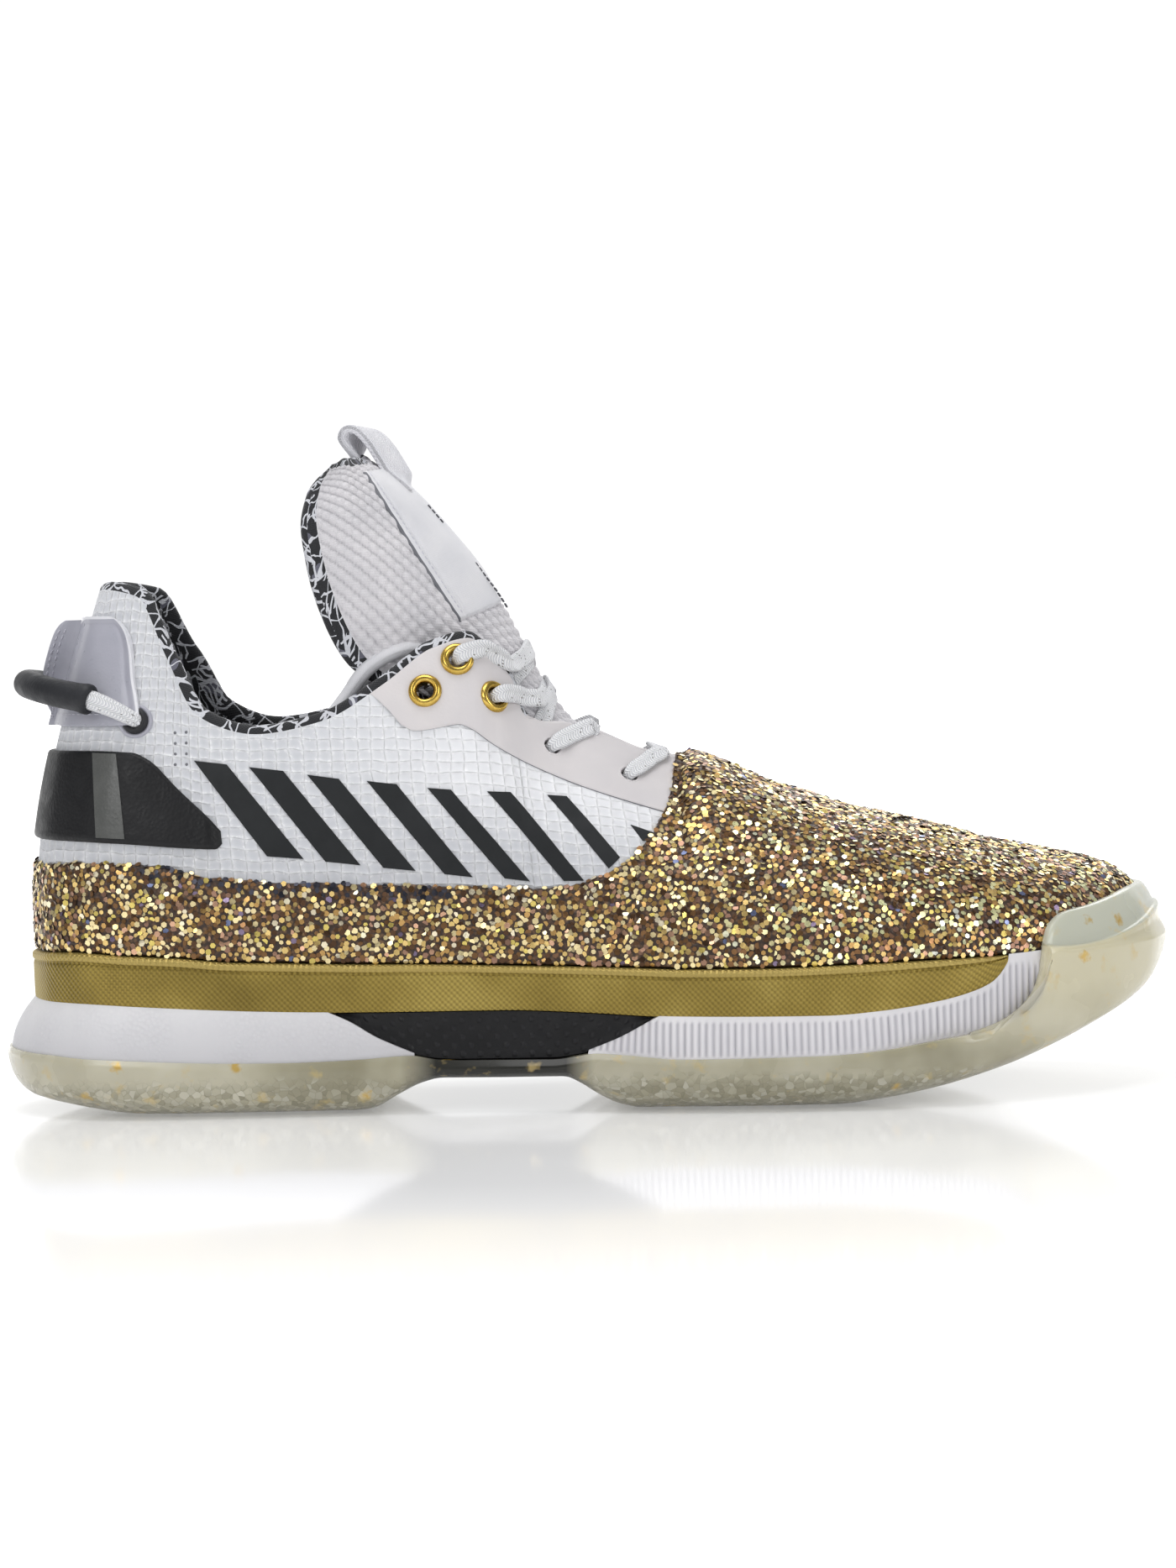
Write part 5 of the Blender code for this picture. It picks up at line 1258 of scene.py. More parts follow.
bits = Bits()
for side in (OUTER, INNER):
    eu = np.linspace(station(100.5), 15.75, 300)
    es = np.full(eu.shape, side)
    hi = border_v(eu, es)
    lo = np.minimum(reach(eu, es, eyestay_low), hi)
    g = overlay(eu, es, lo, hi, 40, 0.55 * step(0.0, 0.08, hi - lo) + 0.05, lip=0.5)
    kind = np.zeros((g.shape[0] - 1, g.shape[1] - 1), int)
    # painted shade: the eyestay's lower edge wall gets the darker grey
    kind[:, :1] = 1
    bits.grid(g, keep=clear_of_holes, flip=side > 0, mat=kind.ravel())
bits.make("eyestay_overlay", [EYESTAY, EDGE_SHADE], slot="white_weave", sharp=60)

BARS = (((53.8, 90.7), (62.3, 89.6), (81.4, 65.4), (72.1, 66.3)), ((68.0, 88.8), (76.6, 87.7), (95.8, 63.5), (86.9, 64.6)),
        ((82.7, 86.6), (90.7, 85.4), (109.7, 61.8), (101.6, 62.7)), ((97.8, 84.7), (105.4, 83.7), (124.1, 59.9), (117.0, 60.8)),
        ((113.2, 82.6), (119.2, 82.0), (138.6, 58.5), (132.2, 59.4)), ((128.1, 81.3), (133.9, 80.8), (152.2, 58.4), (147.1, 58.4)),
        ((143.3, 79.7), (148.2, 79.2), (161.4, 63.8), (158.5, 61.2)), ((164.3, 71.5), (170.5, 69.3), (168.6, 67.6), (167.2, 67.6)))
bits = Bits()
for side in (OUTER, INNER):
    for corners in BARS:
        patch(bits, side, corners, 12, 44, 0.24)
bits.make("side_bars", PRINT, slot="black_plastic", sharp=40)

# glitter toe cap and mudguard
us = np.unique(np.concatenate([np.linspace(0, 13.8, 200), np.linspace(13.8, 16, 141), np.linspace(16, LAST, 150)]))
U, S = loop(us)
wobble = sum(a * np.sin(w * np.arange(len(U)) + p) for a, w, p in ((0.22, 0.31, 0.4), (0.16, 0.83, 1.9), (0.12, 1.7, 0.7)))
RAND_HIGH = 1.0
v1 = reach(U, S, rand_top)
v1 = np.clip(v1 + np.where(U < 15, wobble * 0.012, 0), 0, 1)
v0 = np.zeros_like(v1)
rand_grid = overlay(U, S, v0, v1, 44, RAND_HIGH, low=-0.2, lip=0.9, open_top=U >= RIDGE_FROM - 1e-6)
rand_grid = mend_ridge(rand_grid, U, -1)
rand_grid = mend_ridge(rand_grid, U, -2)
Bits().grid(rand_grid).make("rand_ground", GROUND_GLITTER, "rand", "glitter", sharp=60)

# flakes: spread by area with a least distance, each a small tilted hexagon
face = rand_grid[:, 2:-1]
cells = quads_of(face.shape[0], face.shape[1])
pts = face.reshape(-1, 3)
corner = pts[cells]
across_a, across_b = corner[:, 2] - corner[:, 0], corner[:, 3] - corner[:, 1]
cell_n = np.cross(across_a, across_b)
area = 0.5 * np.linalg.norm(cell_n, axis=1)
cell_n = unit(cell_n)
count = int(area.sum() * 4.2)
pick = rng.choice(len(cells), count, p=area / area.sum())
a, b = rng.random((2, count, 1))
where = (corner[pick, 0] * (1 - a) + corner[pick, 1] * a) * (1 - b) + (corner[pick, 3] * (1 - a) + corner[pick, 2] * a) * b
LEAST = 1.10
seen, kept = {}, []
keys = np.floor(where / LEAST).astype(int).tolist()
spots_list = where.tolist()
near = [(i, j, k) for i in (-1, 0, 1) for j in (-1, 0, 1) for k in (-1, 0, 1)]
for i, (kx, ky, kz) in enumerate(keys):
    x, y, z = spots_list[i]
    free = True
    for dx, dy, dz in near:
        for q in seen.get((kx + dx, ky + dy, kz + dz), ()):
            w = spots_list[q]
            if (w[0] - x) ** 2 + (w[1] - y) ** 2 + (w[2] - z) ** 2 < LEAST * LEAST:
                free = False
                break
        if not free:
            break
    if free:
        seen.setdefault((kx, ky, kz), []).append(i)
        kept.append(i)
kept = np.array(kept)
centre, n0 = where[kept], cell_n[pick[kept]]
tilt = unit(n0 + rng.normal(0, 0.17, centre.shape))
a = unit(np.cross(tilt, unit(rng.normal(size=centre.shape))))
b = np.cross(tilt, a)
radius = rng.uniform(0.60, 0.92, len(centre))
turn = np.linspace(0, 2 * math.pi, 6, endpoint=False)
hexes = (centre + n0 * rng.uniform(0.02, 0.24, (len(centre), 1)))[:, None] + radius[:, None, None] * (
    np.cos(turn)[None, :, None] * a[:, None] + np.sin(turn)[None, :, None] * b[:, None])
PALETTE = (((250, 236, 186), 0.22), ((230, 204, 136), 0.19), ((190, 156, 100), 0.14), ((128, 98, 68), 0.14),
           ((92, 70, 54), 0.10), ((222, 206, 120), 0.07), ((214, 174, 148), 0.05), ((255, 248, 222), 0.05),
           ((150, 120, 104), 0.05), ((132, 120, 150), 0.010), ((110, 122, 160), 0.006))
shades = np.array([srgb(*c) for c, _ in PALETTE])
odds = np.array([w for _, w in PALETTE])
height_in = (pick[kept] % (face.shape[1] - 1)) / (face.shape[1] - 2)
tints = shades[rng.choice(len(shades), len(centre), p=odds / odds.sum())] * rng.uniform(0.84, 1.16, (len(centre), 1))
# Painted light: past the throat the flakes are painted brighter, where the upward faces catch more light.
tints *= np.array([[0.93, 0.875, 0.815]]) + step(165, 225, centre[:, :1]) * np.array([[0.36, 0.31, 0.30]])
bare = (height_in > 0.84) & (centre[:, 0] > 40) & (centre[:, 0] < 118) & (rng.random(len(centre)) < 0.42 * (
    0.4 + np.sin(centre[:, 0] * 0.9) ** 2))
tints[bare] = np.array(srgb(58, 58, 66)) * rng.uniform(0.7, 1.4, (bare.sum(), 1))
half = len(centre) // 2
order = np.argsort(centre[:, 0])
for word, chosen in (("rear", order[:half]), ("front", order[half:])):
    h = hexes[chosen]
    Bits().loose(h.reshape(-1, 3), np.arange(len(h) * 6).reshape(-1, 6), tint=np.repeat(np.clip(tints[chosen], 0, 1), 6, 0)).make(
        "glitter_flakes_" + word, FLAKE, slot="glitter", weld=False, smooth=False)

# heel counter with its grey window
u_end = station(62.5)
us = np.linspace(0, u_end, 90)
U = np.concatenate([us[::-1], us[1:]])
S = np.concatenate([np.full(len(us), INNER), np.full(len(us) - 1, OUTER)])
v0, v1 = reach(U, S, counter_low), reach(U, S, counter_top)
g = overlay(U, S, v0, v1, 26, 1.75 * step(u_end + 0.1, u_end - 0.25, U), lip=1.1)
Bits().grid(g).make("heel_counter_fine", COUNTER, "heel_counter", "black_plastic", sharp=45)
bits = Bits()
for side in (OUTER, INNER):
    patch(bits, side, ((28.4, 92.9), (34.4, 92.6), (36.3, 71.2), (29.1, 71.6)), 10, 26, 0.28, base=1.70)
bits.make("counter_window", WINDOW, slot="black_plastic", sharp=45)


# ------------------------------------------------------------------ heel strap, fin and pull loop
TAB_Z0, TAB_Z1 = 99.8, 127.4
hs = np.concatenate([[0, 0], np.linspace(0.0, 1.0, 40), [1, 1]])
h_off = np.concatenate([[0, 0.6], np.ones(40), [0.6, 0]])
ms = np.concatenate([[1.0, 1.0], np.linspace(1.0, 0.0, 46)])
m_off = np.concatenate([[0, 0.6], np.ones(46)])


def tab_side(side):
    out = np.empty((len(ms), len(hs), 3))
    uu = np.linspace(0, 4.2, 140)
    sides = np.full(uu.shape, side)
    for j, h in enumerate(hs):
        z0 = TAB_Z0 + h * (TAB_Z1 - TAB_Z0)
        zs = z0 - 1.2 * hump(ms, 0.24, 0.12) * step(0.8, 1.0, h)
        x_at = plain(uu, sides, reach(uu, sides, lambda x, z=z0: np.full_like(x, z)))[:, 0]
        corner_in = 3.4 * (1 - math.sqrt(1 - min(max((z0 - 121.6) / 5.9, 0), 1) ** 2))
        u_front = np.interp(float(tab_front(z0)) - corner_in + 2.0 * float(step(106, 122, z0)), x_at, uu)
        u = ms * u_front
        v = np.array([reach(np.array([a]), np.array([side]), lambda x, z=z: np.full_like(x, z))[0] for a, z in zip(u, zs)])
        edge_mm = np.minimum((1 - ms) * 24, (1 - h) * 27)
        rim_ = 0.40 * step(1.3, 0.9, edge_mm) - 0.15 * hump(edge_mm, 1.8, 0.4)
        off = 0.15 + (1.75 + rim_) * np.minimum(m_off, h_off[j])
        out[:, j] = body(u, np.full(u.shape, side), np.minimum(v, 0.995), off)
    return out


left, right = tab_side(INNER), tab_side(OUTER)
strap = np.concatenate([left, right[::-1][1:]], 0)
kind = np.zeros((strap.shape[0] - 1, strap.shape[1] - 1), int)
# edge columns get the near-white piping and painted highlight
kind[:3], kind[-3:], kind[:, -3:] = 1, 1, 1
Bits().grid(strap, mat=kind.ravel()).make("heel_tab_fine", [STRAP, PIPING_HIGHLIGHT], "heel_tab", "silver_strap", sharp=55)

back = strap[len(ms) - 1]
FIN_PROFILE = ((-0.15, 2.2), (0.0, 1.7), (0.12, 1.35), (0.35, 1.2), (0.6, 1.15), (0.85, 1.1), (0.94, 1.0), (0.99, 0.7), (1.02, 0.0))
profile = FIN_PROFILE + tuple((f, -y) for f, y in FIN_PROFILE[-2::-1])
fz = np.linspace(TAB_Z0 + 0.2, TAB_Z1 - 0.2, 40)
order = np.argsort(back[2:-2, 2])
root = np.interp(fz, back[2:-2, 2][order], back[2:-2, 0][order])
edge = np.minimum(fin_back(fz) + 2.4 * (1 - np.sqrt(1 - np.clip((fz - 123.6) / 3.8, 0, 0.99) ** 2)), root - 1.6)
fin = np.array([[(r + (e - r) * f, y, z) for r, e, z in zip(root, edge, fz)] for f, y in profile])
flat = fin.copy()
flat[..., 1] *= 0.0
fin = np.concatenate([flat[:, :1], fin, flat[:, -1:]], 1)
Bits().grid(fin, flip=True).make("heel_fin", FIN, slot="silver_strap", sharp=50)


def route_half():
    out = []
    for u, off in ((2.3, 4.7), (1.7, 6.0), (1.1, 8.2), (0.55, 10.8), (0.0, 12.3)):
        z = 105.0
        for _ in range(20):
            v = height_at(u, OUTER, lambda x, z=z: np.full_like(x, z))
            p = skin(u, OUTER, v) + skin_normal(u, OUTER, v) * off
            z = 0.5 * z + 0.5 * float(np.interp(p[0], (2.0, 8.8, 28.8, 38.8), (112.0, 110.9, 106.4, 101.1)))
        out.append(np.array([p[0], p[1], z]))
    return out


gu, gv = (float(q) for q in place(OUTER, 38.8, 101.1))
half = [body(gu, OUTER, gv, -2.0), body(gu - 0.03, OUTER, gv, 1.6)] + route_half()[1:]
half = [np.asarray(p, float).reshape(3) for p in half]
mirrored = [p * (1, -1, 1) for p in half[:-1]]
cord_path = smooth_path(half + mirrored[::-1], 160)
cord_r = np.interp(np.arange(160), (0, 5, 24, 30, 129, 135, 154, 159), (1.85, 1.9, 2.6, 2.6, 2.6, 2.6, 1.9, 1.85))
Bits().grid(tube_grid(cord_path, cord_r, 24), closed=True).make("heel_cord_fine", CORD, "heel_cord", "white_cord")


def along_tube(path, spots_at, radii, sides):
    a, b = ring_frames(path)
    i = np.arange(len(path))
    p = np.stack([np.interp(spots_at, i, path[:, k]) for k in range(3)], -1)
    a = unit(np.stack([np.interp(spots_at, i, a[:, k]) for k in range(3)], -1))
    b = unit(np.stack([np.interp(spots_at, i, b[:, k]) for k in range(3)], -1))
    turn = np.linspace(0, 2 * math.pi, sides, endpoint=False)
    ring = np.cos(turn)[:, None, None] * a[None] + np.sin(turn)[:, None, None] * b[None]
    return p[None] + np.asarray(radii)[None, :, None] * ring


g0, g1 = 24.0, 135.0
seat = np.concatenate([[g0 + 4, g0, g0, g0 + 0.5, g0 + 1.2, g0 + 2.4, g0 + 3.6, g0 + 5], np.linspace(g0 + 7, g1 - 7, 90),
                       [g1 - 5, g1 - 3.6, g1 - 2.4, g1 - 1.2, g1 - 0.5, g1, g1, g1 - 4]])
r_end = [2.7, 2.75, 3.3, 3.75, 3.95, 4.0, 3.9, 3.75]
radii = np.concatenate([r_end, np.full(90, 3.65), r_end[::-1]])
Bits().grid(along_tube(cord_path, seat, radii, 28), closed=True).make("heel_grip_fine", GRIP, "heel_grip", "black_rubber", sharp=60)


def ring_on(bits, centre, n, profile, sides=48, mat=0):
    a = unit(np.cross(n, (0.0, 0.0, 1.0)))
    b = np.cross(n, a)
    turn = np.linspace(0, 2 * math.pi, sides, endpoint=False)
    d = np.cos(turn)[:, None] * a + np.sin(turn)[:, None] * b
    pr = np.array(profile, float)
    grid = centre + d[:, None] * pr[None, :, :1] + n * pr[None, :, 1:]
    return bits.grid(grid, closed=True, flip=True, mat=mat)


bits = Bits()
for side in (OUTER, INNER):
    c, n = body(gu, side, gv), normal(gu, side, gv)
    out = unit(cord_path[6] - cord_path[2]) * (1, -side, 1)
    ring_on(bits, c + 0.5 * n, unit(n + 0.75 * out), ((1.85, -1.9), (1.9, 0.4), (2.1, 0.95), (2.6, 1.2), (3.1, 1.0), (3.35, 0.5), (3.4, -1.9)))
    ring_on(bits, c, n, ((3.2, -0.3), (3.4, 0.35), (3.9, 0.5), (4.3, 0.35), (4.5, -0.3)), mat=1)
bits.make("cord_grommets", [BLACK, STRAP], slot="black_rubber", sharp=60)

# small punched dots beside the counter
# Painted shade: grey discs stand in for the shade in the punched holes.
bits = Bits()
for side in (OUTER, INNER):
    for x in (48.9, 51.8):
        for z in (89.9, 92.6, 95.3, 98.0):
            du, dv = (float(q) for q in place(side, x, z))
            ring_on(bits, body(du, side, dv), normal(du, side, dv), ((0.0, 0.05), (0.30, 0.06), (0.40, 0.02), (0.44, -0.1)), 12)
bits.make("punched_dots", EDGE_SHADE, slot="black_plastic")


# ------------------------------------------------------------------ tongue
tongue_row = {c: Track(range(len(TONGUE)), [r[i] for r in TONGUE.values()]) for i, c in enumerate(TONGUE_COLUMNS)}
TOP_Q = len(TONGUE) - 1


def tongue_skin(q, turn):
    q, turn = np.broadcast_arrays(np.asarray(q, float), np.asarray(turn, float))
    ex, ey, ez = (tongue_row["edge_" + c](q) for c in "xyz")
    c = np.maximum(np.cos(turn), 0.0)
    return np.stack([ex + (tongue_row["mid_x"](q) - ex) * c ** 0.9, ey * np.sin(turn), ez + (tongue_row["mid_z"](q) - ez) * c], -1)


def tongue_normal(q, turn):
    e = 1e-3
    return unit(np.cross(tongue_skin(q, turn + e) - tongue_skin(q, turn - e),
                         tongue_skin(q + e, turn) - tongue_skin(q - e, turn)))


turns = np.linspace(-math.pi / 2, math.pi / 2, 217)
qs = np.linspace(0, TOP_Q, 322)
T, Q = np.meshgrid(turns, qs, indexing="ij")
base = tongue_skin(Q, np.clip(T, -1.555, 1.555))
n = tongue_normal(np.clip(Q, 0.01, TOP_Q - 0.01), np.clip(T, -1.45, 1.45))
sa = np.concatenate([np.zeros((1, len(qs))), np.cumsum(np.linalg.norm(np.diff(base, axis=0), axis=2), 0)], 0)
sa = sa - sa[len(turns) // 2]
ta = np.concatenate([np.zeros((len(turns), 1)), np.cumsum(np.linalg.norm(np.diff(base, axis=1), axis=2), 1)], 1)
cross, rise = 0.956 * np.abs(sa) - 0.292 * ta, 0.292 * np.abs(sa) + 0.956 * ta
ridge_no = np.floor(cross / 2.4)
basket = np.abs(np.sin(math.pi * cross / 2.4)) ** 0.8 * (0.45 + 0.55 * np.abs(np.sin(math.pi * (rise / 3.3 + 0.5 * (ridge_no % 2)))))
panel = step(6.0, 6.06, Q) * step(10.35, 10.28, Q) * step(0.785, 0.765, np.abs(T))
from_top = ta[:, -1:] - ta
strip_ = np.maximum(step(1.47, 1.49, np.abs(T)), step(2.7, 2.4, from_top) * step(0.28, 0.32, np.abs(T)))
relief = 0.95 * basket * (1 - panel) * (1 - strip_)
relief += panel * (1.1 + 0.9 * hump(T, 0.0, 0.30) * step(6.0, 7.0, Q) - 0.45 * hump(np.abs(T), 0.70, 0.014))
relief -= 0.35 * hump(np.abs(T), 0.80, 0.018) * step(5.9, 6.05, Q) * step(10.45, 10.3, Q)
relief -= 0.6 * hump(Q, 6.02, 0.035) * step(0.80, 0.77, np.abs(T))
relief += 0.7 * hump(np.abs(T), 1.18, 0.16) * step(5.0, 7.0, Q)
front = base + n * relief[..., None]
depth = TONGUE_EDGE_THICK + (TONGUE_THICK - TONGUE_EDGE_THICK) * np.maximum(np.cos(T), 0) ** 0.6 * np.minimum(
    1.0, 0.45 + 0.3 * np.minimum(Q, TOP_Q - Q))
rear = base - n * depth[..., None]
kind = np.zeros((len(turns) - 1, len(qs) - 1), int)
tm, qm = 0.5 * (turns[1:] + turns[:-1])[:, None], 0.5 * (qs[1:] + qs[:-1])[None]
kind[(np.abs(tm) < 0.775) & (qm > 6.03) & (qm < 10.32)] = 1
kind[(np.abs(tm) > 1.48) & (qm > 3.0)] = 2
kind[(0.5 * (from_top[1:, 1:] + from_top[:-1, :-1]) < 2.5) & (np.abs(tm) > 0.30)] = 2
# painted shade: a grey line along the panel's border, under its raised edge
kind[(np.abs(tm) > 0.764) & (np.abs(tm) < 0.792) & (qm > 6.0) & (qm < 10.35)] = 3
bits = Bits()
# Painted shade: tint that darkens the low parts of the basket weave, off the panel and the edge strip.
shade = 1 - (1 - np.clip(2.0 * basket, 0, 1)) * (1 - panel) * (1 - strip_)
bits.grid(front, uv=np.stack([sa, ta], -1), mat=kind.ravel(), tint=np.repeat(shade.reshape(-1, 1), 3, 1))
bits.grid(rear[::3, ::3], uv=np.stack([sa, ta], -1)[::3, ::3], mat=2, flip=True)
phi = np.linspace(0, math.pi, 9)


def rim(a, b, out, high):
    """Rounded edge between two rows of points."""
    mid, half_ = 0.5 * (a + b), 0.5 * (a - b)
    return mid[:, None] + half_[:, None] * np.cos(phi)[None, :, None] + out[:, None] * (high[:, None] * np.sin(phi))[..., None]


fade = np.minimum(step(0, 0.5, qs), step(TOP_Q, TOP_Q - 0.5, qs))
for k, back_k, flip in ((0, 3, True), (-1, -4, False)):
    out = unit(base[k] - base[back_k])
    g = rim(front[k], rear[k], out, 1.6 * fade)
    bits.grid(g, mat=2, flip=not flip)
fade = step(math.pi / 2, 1.2, np.abs(turns))
for k, back_k, flip in ((-1, -4, False), (0, 3, True)):
    out = unit(base[:, k] - base[:, back_k])
    g = rim(front[:, k], rear[:, k], out, 1.6 * fade)
    bits.grid(g, mat=2 if k else 0, flip=flip)
tongue = bits.make("tongue_fine", [TONGUE_CLOTH, PANEL, LINING, EDGE_SHADE], "tongue", "white_weave", sharp=75)

q_root = float(np.interp(158.0, tongue_row["mid_z"](np.linspace(6, TOP_Q, 200)), np.linspace(6, TOP_Q, 200)))
loop_root = tongue_skin(q_root, 0.0) + 0.5 * tongue_normal(q_root, 0.0)
path = smooth_path([tuple(loop_root)] + [(x, 0.0, z) for x, z in (
    (106.6, 162.6), (104.0, 167.2), (101.4, 171.3), (98.6, 174.1), (96.1, 174.4), (94.9, 172.6), (95.2, 169.8), (95.9, 166.6))], 90)
t = unit(np.gradient(path, axis=0))
g = strip(path, np.cross(t, (0.0, 1.0, 0.0)), LOOP_WIDE, LOOP_THICK + 0.3, 0.22, 40)
s = np.linspace(0, 1, g.shape[1])
skew = (step(0.02, 0.22, s) * (1 - step(0.80, 1.0, s)))[None]
g[..., 0] += 0.37 * g[..., 1] * skew
g[..., 2] -= 0.05 * g[..., 1] * skew
Bits().grid(g, closed=True, flip=True).make("tongue_loop_fine", WEBBING, "tongue_loop", "silver_strap", sharp=60)

bits = Bits()
for side in (-1.0, 1.0):
    wu, wv = (float(q) for q in place(side, 82.0, 95.0))
    wall_end = inner_wall(np.atleast_1d(wu), np.atleast_1d(side), np.atleast_1d(wv))[0]
    path = smooth_path([wall_end + (0.0, side * 1.5, 0.0), wall_end + (4.5, -side * 1.2, 4.0), (92.0, side * 22.8, 105.0), (98.2, side * 22.2, 113.0), (105.9, side * 21.8, 117.2),
                        (111.5, side * 20.6, 117.0), (116.0, side * 19.0, 112.0)], 60)
    s = np.linspace(0, 1, 60)
    g = tube_grid(path, 2.0 * np.minimum(1, np.minimum(s, 1 - s) * 9 + 0.02) ** 0.5, 20)
    bits.grid(g, closed=True)
bits.make("gusset_roll", PANEL, slot="white_weave")

# ------------------------------------------------------------------ eyelets and lace
EYELET = ((2.75, -2.4), (2.2, -2.4), (2.12, -1.2), (2.12, 0.4), (2.22, 0.95), (2.5, 1.45), (2.95, 1.75), (3.4, 1.75), (3.85, 1.5),
          (4.15, 1.1), (4.28, 0.65), (4.25, 0.35))
for name, side, p, n in holes:
    word = "outer" if side < 0 else "inner"
    if name in METAL:
        ring_on(Bits(), p, n, EYELET).make(f"eyelet_{name}_{word}_fine", BRASS, f"eyelet_{name}_{word}", "brass", sharp=70)
bits = Bits()
for name, side, p, n in holes:
    if name not in METAL:
        ring_on(bits, p, n, ((2.3, -2.6), (2.25, -0.5), (2.25, 0.45), (2.4, 0.72), (2.8, 0.74), (3.05, 0.55)), mat=0)
        # painted shade: a grey disc closes the bottom of the hole
        ring_on(bits, p, n, ((0.0, -2.7), (2.3, -2.6)), mat=1)
bits.make("punched_rims", [EYESTAY, EDGE_SHADE], slot="white_weave", sharp=60)


def over_eyestay(hole, leave, side):
    u, v = spots[hole]
    go = unit(body(u + (leave - u) * 0.3, side, v + (0.99 - v) * 0.3) - body(u, side, v))
    n = normal(u, side, v)
    metal = hole in METAL
    top = 2.45 if metal else 1.5
    points = [body(u, side, v, -3.2), body(u, side, v, 0.5) + 0.1 * go, body(u, side, v, top - 0.1) + 1.9 * go]
    ups = [-go, unit(n - go), n]
    for q in (0.45, 0.72, 1.0):
        a, b = u + (leave - u) * q, v + (0.99 - v) * q
        points.append(body(a, side, b, 1.9 if metal and q < 0.6 else 1.35))
        ups.append(normal(a, side, b))
    return points, ups


def lace(points, ups, count, end=True):
    path, up_ = smooth_path(points, count), unit(smooth_path(ups, count))
    length = np.concatenate([[0], np.cumsum(np.linalg.norm(np.diff(path, axis=0), axis=1))])
    near_ = np.minimum(length, length[-1] - length if end else length)
    wide = 2.9 + 1.9 * step(2.5, 7.0, near_)
    thick = 1.8 - 0.55 * step(2.5, 7.0, near_)
    return strip(path, up_, wide, thick, 0.6, 22)


def nearest_q(p, turn_):
    q = np.linspace(0.5, 8, 300)
    return q[np.argmin(np.linalg.norm(tongue_skin(q, np.full(300, turn_)) - p, axis=1))]


OVER = {"lace_cross_top": OUTER, "lace_cross_middle": INNER, "lace_cross_low": OUTER}
for name, (hole, leave, middle, dive) in CROSSINGS.items():
    bits = Bits()
    for side in (OUTER, INNER):
        pts, ups = over_eyestay(hole, leave, side)
        lift_ = 1.5 if OVER[name] == side else 0.75
        start_turn = side * 0.92
        q_from = nearest_q(pts[-1], start_turn)
        n_from = tongue_normal(q_from, start_turn)
        gap_from = max(float((pts[-1] - tongue_skin(q_from, start_turn)) @ n_from), lift_)
        for part in (0.22, 0.45, 0.7, 1.0):
            turn_, q = start_turn * (1 - part), q_from + (middle - q_from) * part
            nn = tongue_normal(q, turn_)
            off = lift_ + (gap_from - lift_) * max(0.0, 1 - 1.6 * part) ** 1.5
            pts.append(tongue_skin(q, turn_) + nn * off)
            ups.append(nn)
        for q, turn_, off in ((dive + 0.10, -side * 0.22, lift_ * 0.6 + 0.5), (dive, -side * DIVE_TURN, 1.1),
                              (dive - 0.22, -side * 0.72, 1.0), (dive - 0.40, -side * 0.98, 0.9)):
            nn = tongue_normal(q, turn_)
            pts.append(tongue_skin(q, turn_) + nn * off)
            ups.append(nn)
        bits.grid(lace(pts, ups, 150, end=False), closed=True, flip=True)
    bits.make(name + "_fine", LACE, name, "white_cord", sharp=70)
left, ups_left = over_eyestay(BAR[0], BAR[1], OUTER)
right, ups_right = over_eyestay(BAR[0], BAR[1], INNER)
mid = np.array([BAR[2][0], 0.0, BAR[2][1] - 1.4])
bits = Bits()
bits.grid(lace(left + [mid] + right[::-1], ups_left + [np.array([0.35, 0.0, 0.94])] + ups_right[::-1], 120), closed=True, flip=True)
bits.make("lace_bar_fine", LACE, "lace_bar", "white_cord", sharp=70)


# ------------------------------------------------------------------ stitches
def stitches(bits, path, normals, gap=2.2, long=1.5, r=0.26, lift=0.05, mat=0):
    """Row of small capsules along a path."""
    arc = np.concatenate([[0], np.cumsum(np.linalg.norm(np.diff(path, axis=0), axis=1))])
    for c in np.arange(gap / 2, arc[-1], gap):
        p = np.array([np.interp(c, arc, path[:, k]) for k in range(3)])
        q = np.array([np.interp(c + 0.3, arc, path[:, k]) for k in range(3)]) - np.array(
            [np.interp(c - 0.3, arc, path[:, k]) for k in range(3)])
        nn = unit(np.array([np.interp(c, arc, normals[:, k]) for k in range(3)]))
        d = unit(q)
        s = np.cross(nn, d)
        tt = np.linspace(-1, 1, 7)
        rr = r * np.sqrt(np.maximum(1 - tt ** 4, 0.0))
        turn = np.linspace(0, 2 * math.pi, 8, endpoint=False)
        grid = p + nn * lift + d * (tt * long / 2)[None, :, None] + rr[None, :, None] * (
            np.cos(turn)[:, None, None] * s + np.sin(turn)[:, None, None] * nn)
        bits.grid(grid, closed=True, mat=mat, flip=True)
    return bits


bits = Bits()
for y in (-1.0, 1.0):
    for inset in (1.1, 2.6):
        line = np.stack([edge + inset * np.clip((root - edge) / 6, 0, 1), np.full(len(fz), y * 1.12), fz], -1)[2:-2]
        stitches(bits, line, np.broadcast_to([0.0, y, 0.0], line.shape), 1.9, 1.3, 0.22)
    line = np.stack([np.linspace(edge[3] + 1, root[3] + 1, 20), np.full(20, y * 1.25), np.full(20, TAB_Z0 + 2.2)], -1)
    stitches(bits, line, np.broadcast_to([0.0, y, 0.0], line.shape), 1.7, 1.2, 0.22)
tabs = {INNER: strap[:len(ms)], OUTER: strap[len(ms) - 1:][::-1]}
for side, g in tabs.items():
    j = np.argmin(np.abs(hs - 0.10))
    line = g[6:-3, j]
    nn = unit(np.stack([np.zeros(len(line)), np.full(len(line), side), np.zeros(len(line))], -1))
    stitches(bits, line, nn, 2.0, 1.4, 0.2)
bits.make("strap_stitches", THREAD, slot="silver_strap", weld=False)

